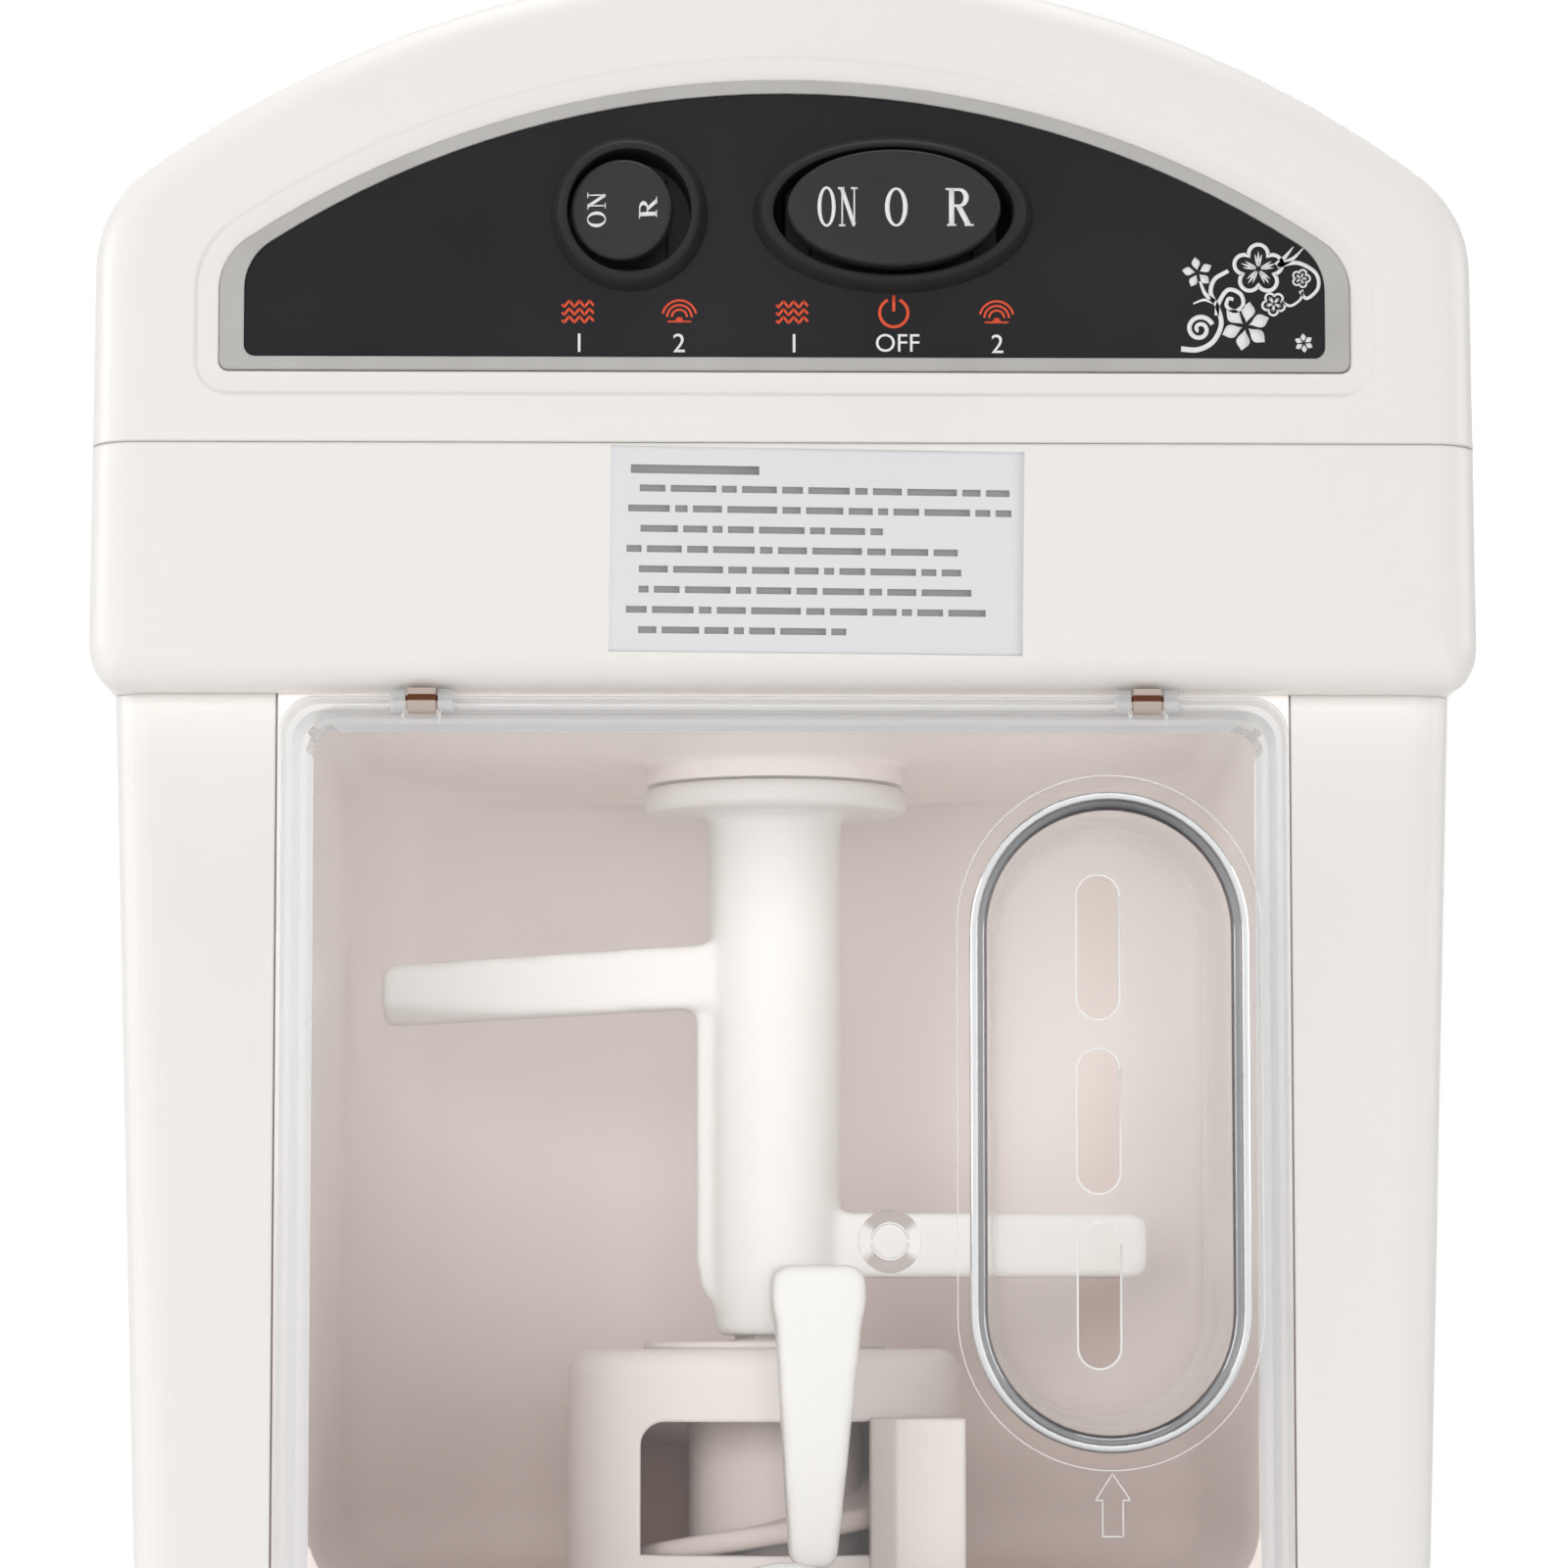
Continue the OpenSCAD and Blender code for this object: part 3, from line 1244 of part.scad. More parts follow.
module upper_gear_plate() {
    color("#aeb1b5") translate([0, 0, top_plate_z]) difference() {
        union() {
            linear_extrude(gear_plate_h)
                gear_plate_outline(drive_y - gear_plate_ahead, motor_y - gear_plate_back);
            translate([0, drive_y, -bearing_h + 2]) cylinder(r = bearing_r + 2, h = bearing_h - 1);
        }
        translate([0, drive_y, -bearing_h]) cylinder(r = bearing_r, h = bearing_h + 1);
        translate([0, drive_y, 0]) cylinder(r = shaft_r + 1, h = 10);
        for (p = [second_at, first_at]) translate([p[0], p[1], -eps]) cylinder(r = gear_pin_r, h = 20);
    }
}

module gear_posts() {
    color("#c3c5c8") for (p = post_places) translate([p[0], p[1], plate_top_z])
        cylinder(r = gear_post_r, h = top_plate_z - plate_top_z);
}

module gear_pins() {
    color("#d2d4d6") for (p = [second_at, first_at]) translate([p[0], p[1], plate_z])
        cylinder(r = gear_pin_r, h = top_plate_z + gear_plate_h - plate_z);
}

module output_bearings() {
    color("#9da0a4") for (z = [plate_z + 1.5, top_plate_z + 1 - bearing_h]) translate([0, drive_y, z])
        difference() {
        cylinder(r = bearing_r, h = bearing_h);
        translate([0, 0, -eps]) cylinder(r = shaft_r + run, h = bearing_h + 1);
    }
}

module spur_gear(n, m, h, turn, bore) {
    rotate([0, 0, turn]) linear_extrude(h) difference() {
        polygon(gear_points(n, m));
        circle(bore);
    }
}

module output_gear() {
    hub_r = shaft_r + gear_hub;
    rim_r = teeth_out * mod_c / 2 - gear_rim;
    color("#e8e2cf") translate([0, drive_y, out_gear_z]) difference() {
        spur_gear(teeth_out, mod_c, out_gear_h, 0, shaft_r);
        for (z = [-eps, out_gear_h - gear_dish]) translate([0, 0, z]) difference() {
            cylinder(r = rim_r, h = gear_dish + eps);
            cylinder(r = hub_r, h = gear_dish + eps);
        }
    }
}

// Stacked gear: a pinion, a collar and a wheel over a hub, all on one bore
module stacked_gear(pinion_z, wheel_z, wheel_h, teeth_p, mod_p, teeth_w, mod_w, turn) {
    collar_r = teeth_p * mod_p / 2 - 1.4 * mod_p;
    difference() {
        union() {
            translate([0, 0, pinion_z]) rotate([0, 0, turn])
                linear_extrude(wheel_z - gear_gap - pinion_z) polygon(gear_points(teeth_p, mod_p));
            translate([0, 0, plate_top_z + 0.2]) cylinder(r = collar_r, h = wheel_z + 1 - plate_top_z);
            translate([0, 0, wheel_z]) rotate([0, 0, turn])
                linear_extrude(wheel_h) polygon(gear_points(teeth_w, mod_w));
        }
        translate([0, 0, plate_top_z]) cylinder(r = gear_pin_r + run, h = wheel_z + wheel_h);
    }
}

module second_wheel() {
    color("#d9d2bd") translate([second_at[0], second_at[1], 0])
        stacked_gear(out_gear_z - 0.4, second_z, second_h, teeth_c, mod_c, teeth_second, mod_b, second_turn);
}

module first_wheel() {
    color("#d9d2bd") translate([first_at[0], first_at[1], 0])
        stacked_gear(second_z - 0.4, first_z, first_h, teeth_b, mod_b, teeth_first, mod_a, first_turn);
}

module output_shaft() {
    hex_bottom = post_top_z - shaft_hex_h;
    color("#c9cbce") translate([0, drive_y, 0]) {
        translate([0, 0, post_top_z - 0.5])
            cylinder(r = shaft_r, h = top_plate_z + gear_plate_h + 2 - post_top_z + 0.5);
        translate([0, 0, hex_bottom]) cylinder(r = shaft_r, h = post_top_z - hex_bottom, $fn = 6);
    }
}

post_top_z = ceiling_z - ceiling_boss_h - slip;

module stirrer() {
    color("#f2f1ef") difference() {
        union() {
            translate([0, drive_y, 0]) rotate_extrude() polygon([
                [0, post_bottom_z], [post_end_r - 0.6, post_bottom_z], [post_end_r, post_bottom_z + 1],
                [post_r, post_bottom_z + 10], [post_r, post_top_z - stir_disc_h - 1],
                [post_r + 1.5, post_top_z - stir_disc_h],
                [stir_disc_r, post_top_z - stir_disc_h], [stir_disc_r, post_top_z], [0, post_top_z]]);
            high_arm();
            arm_rib();
            low_arm();
            hooked_arm();
        }
        translate([0, drive_y, post_top_z - shaft_hex_h - 1])
            cylinder(r = shaft_r + run, h = shaft_hex_h + 2, $fn = 6);
        translate([0, drive_y, post_bottom_z - eps])
            cylinder(r = screw_hex_r + run, h = screw_hex_h + 1, $fn = 6);
    }
}

// High arm to the left: it droops a little and its lower front edge is bevelled
module high_arm() {
    tip_z = high_arm_z - high_arm_drop;
    difference() {
        upright(drive_y - arm_t / 2, arm_t) {
            polygon([
                [-post_r + 3, high_arm_z], [-high_arm_l + 2.2, tip_z], [-high_arm_l + 0.7, tip_z - 0.7],
                [-high_arm_l, tip_z - 2.2], [-high_arm_l + 0.4, tip_z - arm_h + 0.4],
                [-post_r + 3, high_arm_z - arm_h]]);
        }
        translate([-high_arm_l, drive_y - arm_t / 2, high_arm_z - arm_h - 4])
            rotate([0, 3.2, 0]) rotate([45, 0, 0]) translate([-5, -3, -3]) cube([high_arm_l, 6, 6]);
    }
}

// Rib down the post's left side, from the high arm
module arm_rib() {
    x = -post_r - rib_out;
    z_low = post_bottom_z + 6;
    z_top = high_arm_z - arm_h + 2;
    upright(drive_y - rib_t / 2, rib_t) polygon([
        [-post_r + 3, z_low], [-post_r + 0.4, z_low], [x + 1, z_low + 2], [x, z_low + 7],
        [x, z_top], [-post_r + 3, z_top]]);
}

module low_arm() {
    upright(drive_y - arm_t / 2, arm_t) {
        translate([(post_r + low_arm_l) / 2 - 2, low_arm_z])
            rounded(low_arm_l - post_r + 4, arm_h + 0.2, 2.5);
    }
}

// Hooked arm to the front, with a broad end and a finger that hangs down beside the barrel
module hooked_arm() {
    z_low = tub_floor_z + finger_gap;
    z_arm = hook_top_z - hook_h;
    left = -finger_lean - finger_tip_w / 2;
    right = -finger_lean + finger_tip_w / 2;
    translate([0, drive_y, 0]) rotate([0, 0, hook_turn]) translate([hook_side, 0, 0]) {
        translate([0, -(hook_l - 3) / 2, z_arm]) linear_extrude(hook_h) rounded(hook_arm_w, hook_l - 3, 3);
        upright(-hook_l, finger_t) {
            translate([0, hook_top_z - hook_h / 2]) rounded(hook_w, hook_h, 3);
            polygon([
                [-hook_w / 2, z_arm + 3.5], [-finger_top_w / 2, z_arm], [left - 0.2, z_low + 2],
                [left + 1.2, z_low], [right - 1.2, z_low], [right + 0.2, z_low + 2],
                [finger_top_w / 2, z_arm], [hook_w / 2, z_arm + 3.5]]);
        }
    }
}

// Section across the screw: the core and one flight, which the twist winds upwards
module screw_section() {
    half = 180 * flight_h / flight_pitch;
    circle(core_r, $fn = 24);
    polygon(concat([[0, 0]], arc([0, 0], flight_r, -half, half, 4)));
}

module auger() {
    color("#cfc2bd") translate([0, drive_y, 0]) {
        translate([0, 0, core_bottom_z]) rotate([0, 0, flight_start])
            linear_extrude(core_h, twist = -360 * core_h / flight_pitch, slices = 48, $fn = 24)
                screw_section();
        translate([0, 0, core_top_z - eps])
            cylinder(r = neck_r, h = feed_top_z + washer_h + 0.4 - core_top_z + eps);
        translate([0, 0, feed_top_z + washer_h]) cylinder(r = screw_hex_r, h = screw_hex_h, $fn = 6);
        translate([0, 0, die_z + tip_gap]) cylinder(r = tip_r, h = core_bottom_z - die_z - tip_gap + eps);
    }
}

module die_plate() {
    inner_count = floor(noodle_count * 2 / 3);
    color("#d8d4cf") translate([0, drive_y, die_z]) difference() {
        cylinder(r = die_r, h = die_h);
        translate([0, 0, 2]) cylinder(r = tip_r + run + 0.2, h = die_h);
        for (i = [0:noodle_count - 1]) rotate(360 * i / noodle_count)
            translate([noodle_ring_out, 0, -eps]) cylinder(r = noodle_r, h = die_h + 2 * eps);
        for (i = [0:inner_count - 1]) rotate(360 * i / inner_count)
            translate([noodle_ring_in, 0, -eps]) cylinder(r = noodle_r, h = die_h + 2 * eps);
    }
}

module die_seal() {
    color("#b44a3c") translate([0, drive_y, die_top_z]) difference() {
        cylinder(r = die_r, h = die_seal_h - 0.05);
        translate([0, 0, -eps]) cylinder(r = barrel_bore_r + 0.3, h = die_seal_h + 1);
    }
}

module die_nut() {
    top = bay_top_z - nut_gap;
    color("#f0efec") translate([0, drive_y, nut_z]) difference() {
        cylinder(r = nut_r, h = top - nut_z);
        translate([0, 0, nut_lip_h]) cylinder(r = barrel_r + slip, h = top - nut_z);
        translate([0, 0, -eps]) cylinder(r = nut_mouth_r, h = nut_lip_h + 1);
        for (i = [0:nut_flutes - 1]) rotate(360 * i / nut_flutes)
            translate([nut_r + flute_r * 0.45, 0, -eps]) cylinder(r = flute_r, h = top - nut_z - 3);
    }
}

// Motor: a square stack between two brackets, hung under the lower gearbox plate
stator_top_z = plate_z - stator_drop;
stator_z = stator_top_z - stator_h;
bracket_h = 3;
lower_bracket_z = stator_z - 16;

module motor_frame(z_plate, z_leg, leg_h) {
    difference() {
        union() {
            translate([0, motor_y, z_plate]) linear_extrude(bracket_h) rounded(stator_w, stator_w, 5);
            for (x = [-1, 1], y = [-1, 1]) translate([x * bolt_at, motor_y + y * bolt_at, z_leg])
                cylinder(r = 5, h = leg_h);
        }
        translate([0, motor_y, z_plate - eps]) cylinder(r = 9, h = bracket_h + 2 * eps);
        for (x = [-1, 1], y = [-1, 1])
            translate([x * bolt_at, motor_y + y * bolt_at, z_leg - bracket_h - eps])
            cylinder(r = screw_r + 0.1, h = leg_h + 2 * bracket_h + 2 * eps);
    }
}

module motor_top_bracket() {
    color("#a9acb0") motor_frame(plate_z - bracket_h, stator_top_z, stator_drop - bracket_h + eps);
}

module motor_bottom_bracket() {
    color("#a9acb0") motor_frame(lower_bracket_z, lower_bracket_z + bracket_h - eps,
        stator_z - lower_bracket_z - bracket_h + eps);
}

module motor_bearings() {
    color("#c3c5c8") for (z = [plate_z - bracket_h - 2, lower_bracket_z - 2]) translate([0, motor_y, z])
        difference() {
        union() {
            cylinder(r = 9, h = 5);
            cylinder(r = 10.5, h = 2);
        }
        translate([0, 0, -eps]) cylinder(r = motor_shaft_r + run, h = 6);
    }
}

module motor_bolts() {
    color("#8d9094") for (x = [-1, 1], y = [-1, 1])
        translate([x * bolt_at, motor_y + y * bolt_at, lower_bracket_z - 2]) {
        cylinder(r = screw_head_r, h = 2);
        cylinder(r = screw_r, h = plate_top_z + 2 - lower_bracket_z);
    }
}

module stator_core() {
    color("#7d8084") translate([0, motor_y, stator_z]) linear_extrude(stator_h) difference() {
        rounded(stator_w, stator_w, 8);
        circle(rotor_r + air_gap);
        for (i = [0:11]) rotate(30 * i + 15) translate([rotor_r + air_gap + 4.6, 0])
            square([6, 3], center = true);
        for (x = [-1, 1], y = [-1, 1]) translate([x * bolt_at, y * bolt_at]) circle(screw_r + 0.1);
    }
}

module stator_windings() {
    color("#b0673a") translate([0, motor_y, 0]) for (z = [stator_top_z + 5, stator_z - 5])
        translate([0, 0, z]) rotate_extrude() translate([(winding_r + rotor_r) / 2 + 1, 0])
            rounded(winding_r - rotor_r - 2, 10, 3);
}

module rotor_core() {
    color("#85888c") translate([0, motor_y, stator_z]) difference() {
        cylinder(r = rotor_r, h = stator_h);
        translate([0, 0, -eps]) cylinder(r = motor_shaft_r, h = stator_h + 2 * eps);
    }
}

module motor_shaft() {
    color("#c9cbce") translate([0, motor_y, lower_bracket_z - fan_h - 6])
        cylinder(r = motor_shaft_r, h = first_z + first_h + 1 - lower_bracket_z + fan_h + 6);
}

module cooling_fan() {
    color("#3e4146") translate([0, motor_y, lower_bracket_z - fan_h - 4]) difference() {
        union() {
            cylinder(r = 10, h = fan_h);
            cylinder(r = fan_r, h = 1.5);
            for (i = [0:fan_blades - 1]) rotate(360 * i / fan_blades)
                translate([6, -0.8, 0]) cube([fan_r - 7, 1.6, fan_h]);
        }
        translate([0, 0, -eps]) cylinder(r = motor_shaft_r, h = fan_h + 2 * eps);
    }
}

module motor_pinion() {
    color("#b7bac0") translate([0, motor_y, first_z - 1])
        spur_gear(teeth_motor, mod_a, first_h + 1.5, motor_turn, motor_shaft_r);
}

module control_board() {
    relay = [18, 16, 16];
    terminals = [board_w - 20, 10, 12];
    color("#2e6b47") translate([-board_left, rear_y + 2, base_top_z + standoff_h]) {
        cube([board_w, board_l, 1.6]);
        for (x = [8, 32]) translate([x, 10, 1.5]) cube(relay);
        translate([8, board_l - 28, 1.5]) cube(terminals);
        translate([18, board_l / 2 - 2, 1.5]) cylinder(r = 5, h = relay[2] + 2);
    }
}

module run_capacitor() {
    color("#cfd2d5") translate([cap_x, rear_y + cap_r + 11, base_top_z]) {
        cylinder(r = cap_r, h = cap_h);
        for (x = [-6, 6]) translate([x - 2.4, -0.4, cap_h - eps]) cube([4.8, 0.8, 8]);
    }
}

// Appliance inlet in the lower back
inlet_at = [inlet_x, inlet_z];
inlet_pin_places = [[-7, -2], [7, -2], [0, 2.5]];

module mains_inlet() {
    color("#232427") translate([inlet_at[0], 0, inlet_at[1]]) difference() {
        union() {
            upright(housing_back, 2.5) rounded(inlet_w + 22, inlet_h + 4, 5);
            upright(housing_back - inlet_d, inlet_d + eps) rounded(inlet_w, inlet_h, 2);
        }
        upright(housing_back - inlet_d + 3, inlet_d + 2) rounded(inlet_w - 4, inlet_h - 4, 3);
        for (p = inlet_pin_places)
            translate([p[0] - 2, housing_back - inlet_d - eps, p[1] - 1]) cube([4, 4, 2]);
    }
}

module inlet_pins() {
    color("#c0a96a") for (p = inlet_pin_places)
        translate([inlet_at[0] + p[0] - 2, housing_back - inlet_d - 6, inlet_at[1] + p[1] - 1])
            cube([4, inlet_d + 2, 2]);
}

housing();
base_plate();
rubber_feet();
foot_screws();
back_cover();
back_screws();
head_band();
head_cover();
head_screws();
mixing_tub();
shaft_seal();
screw_barrel();
barrel_washer();
panel_trim();
control_panel();
round_bezel();
oval_bezel();
round_switch_body();
oval_switch_body();
hinge_hooks();
lower_gear_plate();
upper_gear_plate();
gear_posts();
gear_pins();
output_bearings();
stator_core();
stator_windings();
motor_top_bracket();
motor_bottom_bracket();
motor_bearings();
motor_bolts();
control_board();
run_capacitor();
reed_switch();
mains_inlet();
inlet_pins();
output_shaft();
output_gear();
stirrer();
auger();
second_wheel();
first_wheel();
motor_shaft();
rotor_core();
cooling_fan();
motor_pinion();
front_cover();
fill_port_cup();
cover_magnet();
lock_knob();
lock_knob_ring();
lock_cam();
round_rocker();
oval_rocker();
die_plate();
die_seal();
die_nut();
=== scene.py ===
"""Electric pasta maker: smooth shells, clear cover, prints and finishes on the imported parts.

Millimetres are used for the shapes and turned into metres when a mesh is made.
+Z is up, the front faces -Y and the origin is on the ground under the middle.
"""
import math
from contextlib import contextmanager

import bmesh
import bpy
import numpy as np
from bpy.props import FloatProperty, FloatVectorProperty, IntProperty, PointerProperty
from mathutils import Matrix, Vector


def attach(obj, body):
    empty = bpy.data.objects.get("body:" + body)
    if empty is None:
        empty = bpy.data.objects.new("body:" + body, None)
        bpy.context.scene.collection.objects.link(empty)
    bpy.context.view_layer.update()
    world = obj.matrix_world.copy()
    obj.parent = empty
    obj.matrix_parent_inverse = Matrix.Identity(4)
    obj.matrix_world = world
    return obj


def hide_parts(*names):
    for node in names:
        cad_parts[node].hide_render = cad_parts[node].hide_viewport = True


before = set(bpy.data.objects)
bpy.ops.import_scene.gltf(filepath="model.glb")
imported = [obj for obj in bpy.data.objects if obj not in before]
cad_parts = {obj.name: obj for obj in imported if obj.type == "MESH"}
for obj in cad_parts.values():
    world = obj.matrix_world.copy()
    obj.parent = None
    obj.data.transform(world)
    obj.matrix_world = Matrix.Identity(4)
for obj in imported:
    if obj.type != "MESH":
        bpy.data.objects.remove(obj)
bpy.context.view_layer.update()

bl_info = {
    "name": "Pasta maker finish",
    "version": (1, 0, 0),
    "blender": (4, 5, 0),
    "location": "3D View > Sidebar > Pasta maker",
    "description": "Smooth shells, clear cover, prints and finishes of an electric pasta maker",
    "category": "Object",
}

MM = 0.001
TAU = 2 * math.pi

# Levels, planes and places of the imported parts, in millimetres. A place is (x, z).
FACE_Y, BACK_Y = -140.0, 148.0
DRIVE_Y = -30.0

# Head: its seam, its elliptic lower corners, the draft of its sides between the widest level and
# the level where they stand upright, the hole in its floor (half width, front, back) and the panel
SEAM_Z, HEAD_BOTTOM, HEAD_HALF = 296.8, 258.0, 110.5
HEAD_CORNER_W, HEAD_CORNER_H = 5.0, 7.4
HEAD_WIDEST_Z, HEAD_EVEN_Z, HEAD_DRAFT = 265.4, 325.5, 0.5
HEAD_LEAN = HEAD_DRAFT / (HEAD_EVEN_Z - HEAD_WIDEST_Z)
HEAD_SIZES = dict(arch=171.3, shoulder=20.0, top=375.2)
BAND_HOLE = (99.5, -121.0, 136.0)
TRIM_SIZES = dict(half_w=89.7, bottom=308.3, top=355.0, arch=154.6, shoulder=9.8)
PANEL_Y, PANEL_FLOOR_Y = -139.9, -138.4

# Clear cover: outline, the band at its edge that is painted greyer to stand in for the grey that its clear
# walls reflect and refract, hinge, lock and dimple
COVER_BACK_Y, COVER_FACE_Y = -128.5, -140.0
COVER_DEPTH = COVER_BACK_Y - COVER_FACE_Y
COVER_HALF, COVER_LOW, COVER_HIGH, COVER_CORNER = 80.5, 84.0, 257.5, 5.8
COVER_SIDE_BAND, COVER_END_BAND = 5.6, 6.3
HINGE_Y, HINGE_Z, HOOK_X = -135.0, 255.9, 57.5
LUG_R, LUG_W, LUG_SHIFT = 2.1, 2.4, 3.8
NOTCH_HALF, PIN_WAY_R, CHEEK_HALF = 2.6, 1.16, 0.24
LOCK_Z, BOSS_R, STEM_WAY_R = 104.7, 9.0, 6.06
DIMPLE = (16.4, 170.6)
ARROW = ((49.5, 124.7), (52.7, 124.7), (52.7, 130.3), (53.9, 130.3), (51.05, 134.4), (48.4, 130.3),
         (49.5, 130.3), (49.5, 124.7))

# Fill port: opening, pocket, the moulded line round it (width, height) and the three slots in the
# pocket's floor, whose middle one lies a little above the port's middle
PORT = (51.0, 189.4)
PORT_W, PORT_H, PORT_DEPTH = 44.1, 103.7, 28.0
PORT_STRAIGHT = PORT_H - PORT_W
PORT_LINE = (48.0, 109.0)
SLOT_W, SLOT_H, SLOT_STEP, SLOT_LIFT = 6.8, 23.3, 28.1, 1.0

# Tub with the levels that its painted shade runs between, barrel bore and screw
TUB_DARK_Z, TUB_LIGHT_Z = 120.0, 225.0
BORE_R, BARREL_TOP_Z = 28.3, 147.5
SCREW_LOW, SCREW_HIGH, FLIGHT_HALF, FLIGHT_START = 71.0, 147.3, 1.9, -83
HEX_R, HEX_LOW, HEX_HIGH = 7.0, 155.0, 167.0

# Switches: rockers as (half width, half height), how far each stands ahead of its pivot, and bezels
PIVOT_Y = -136.1
SWITCH_Z, ROUND_X, OVAL_X = 333.5, -24.8, 17.1
ROUND_ROCKER, OVAL_ROCKER = (8.1, 8.1), (16.9, 9.3)
ROUND_SWING, OVAL_SWING, ROUND_TILT = 7.8, 10.5, -10.0
BEZEL_FRONT_Y, BEZEL_BACK_Y = -143.5, -132.6

# Label film: its corners from the top left clockwise, and the band's rolled edge under it
LABEL = ((-27.7, 296.3), (37.9, 295.3), (37.5, 262.9), (-28.0, 263.5))
LABEL_ROLL, LABEL_ROLL_Z = 8.0, 266.0


def linear(r, g, b):
    """A colour written in 0-255 screen values, as the linear values that shaders take."""
    c = np.array((r, g, b)) / 255
    return tuple(float(v) for v in np.where(c <= 0.04045, c / 12.92, ((c + 0.055) / 1.055) ** 2.4))


# ---------------------------------------------------------------- settings

def colour(name, description, default):
    """A colour that a user can set."""
    return FloatVectorProperty(name=name, description=description, default=default, subtype="COLOR", size=3,
                               min=0, max=1)


def length(name, description, default, low, high):
    """A length that a user can set, in metres."""
    return FloatProperty(name=name, description=description, default=default, unit="LENGTH",
                         min=low, max=high)


class PastaShellSettings(bpy.types.PropertyGroup):
    shell: colour("Shell", "Colour of the outer shells", linear(240, 237, 233))
    panel: colour("Panel", "Colour of the control panel", linear(27, 27, 31))
    trim: colour("Trim", "Colour of the bright trim round the panel", linear(187, 185, 182))
    tub: colour("Tub", "Colour of the mixing tub", linear(249, 242, 238))
    edge: length("Head edge", "Radius of the head's rolled front and back edges", 0.008, 0.004, 0.009)
    groove: length("Seam groove", "Depth of the groove at the head's seam", 0.00007, 0.00003, 0.001)
    wall: length("Shell wall", "Wall thickness of the head's shells", 0.0034, 0.002, 0.0035)


class PastaCoverSettings(bpy.types.PropertyGroup):
    tint: colour("Tint", "Colour of the clear plastic", (0.99, 0.995, 0.995))
    wall: length("Cover wall", "Wall thickness of the clear cover", 0.0024, 0.002, 0.003)
    ring: length("Port ring", "Width of the fill port's flat ring", 0.0019, 0.001, 0.003)


class PastaScrewSettings(bpy.types.PropertyGroup):
    pitch: length("Pitch", "Rise of the screw's flight in one turn", 0.026, 0.022, 0.032)
    radius: length("Flight radius", "Radius of the screw's flight", 0.0277, 0.025, 0.0278)
    core: length("Core radius", "Radius of the screw's core", 0.015, 0.012, 0.017)
    grid: length("Stirrer grid", "Size of the cubes that the stirrer's skin is rebuilt on",
                 0.0009, 0.0006, 0.002)
    wear: IntProperty(
        name="Stirrer rounding", description="How many times the stirrer's skin is evened out",
        default=9, min=0, max=30)


class PastaPrintSettings(bpy.types.PropertyGroup):
    symbols: colour("Symbols", "Colour of the printed symbols", linear(226, 84, 52))
    letters: colour("Letters", "Colour of the printed letters and ornament", linear(236, 236, 234))
    label_lines: IntProperty(
        name="Label lines", description="Number of ruled lines on the label film",
        default=8, min=2, max=12)


class PastaStageSettings(bpy.types.PropertyGroup):
    world: FloatProperty(
        name="World light", description="Strength of the world as the object sees it",
        default=0.12, min=0, max=2)
    lamps: FloatProperty(
        name="Lamp level", description="Multiplier on all the lamps", default=1.16, min=0, max=4)
    focal: FloatProperty(
        name="Focal length", description="Focal length of the camera, in millimetres",
        default=137.25, min=20, max=300)


# ---------------------------------------------------------------- meshes

def grid_faces(n_u, n_v, wrap, start):
    """Quads between neighbouring rows of an n_u by n_v grid, the last column joined to the first
    where wrap is true."""
    u = np.arange(n_u - 1)[:, None]
    v = np.arange(n_v if wrap else n_v - 1)[None, :]
    w = (v + 1) % n_v
    corners = (u * n_v + v, u * n_v + w, (u + 1) * n_v + w, (u + 1) * n_v + v)
    return np.stack([np.broadcast_to(c, (n_u - 1, v.size)) for c in corners], -1).reshape(-1, 4) + start


def new_object(name, data):
    """An object in the scene, at the origin."""
    obj = bpy.data.objects.new(name, data)
    bpy.context.scene.collection.objects.link(obj)
    return obj


@contextmanager
def editing(mesh, fill=True):
    """A bmesh that starts from the mesh where fill is true, and ends up in it."""
    bm = bmesh.new()
    if fill:
        bm.from_mesh(mesh)
    yield bm
    bm.to_mesh(mesh)
    bm.free()


def make(name, patches, weld=0.015, sharp=38, recalc=True):
    """One mesh object from patches. A patch is ("grid", points[u, v, 3], wrap) or
    ("face", points[n, 3]), in millimetres. Points closer than weld become one."""
    verts, faces, start = [], [], 0
    for patch in patches:
        points = np.asarray(patch[1], float)
        if patch[0] == "grid":
            faces += grid_faces(points.shape[0], points.shape[1], patch[2], start).tolist()
        else:
            faces.append(list(range(start, start + len(points))))
        verts.append(points.reshape(-1, 3))
        start += len(verts[-1])
    mesh = bpy.data.meshes.new(name)
    mesh.from_pydata((np.concatenate(verts) * MM).tolist(), [], faces)
    tidy(mesh, weld, recalc)
    return smooth_by_angle(new_object(name, mesh), sharp)


def capped(name, rows, **options):
    """Closed solid through rings of points, with a face over each end."""
    rows = np.stack(rows)
    return make(name, [("grid", rows, True), ("face", rows[0]), ("face", rows[-1])], **options)


def tidy(mesh, weld=0.015, recalc=True):
    """Merges doubles, drops empty faces and turns every face outwards."""
    with editing(mesh) as bm:
        bmesh.ops.remove_doubles(bm, verts=bm.verts, dist=weld * MM)
        bmesh.ops.dissolve_degenerate(bm, edges=bm.edges, dist=1e-7)
        if recalc:
            bmesh.ops.recalc_face_normals(bm, faces=bm.faces)


def settle(obj):
    """Applies an object's modifiers to its mesh."""
    graph = bpy.context.evaluated_depsgraph_get()
    mesh = bpy.data.meshes.new_from_object(obj.evaluated_get(graph))
    obj.modifiers.clear()
    obj.data = mesh
    return obj


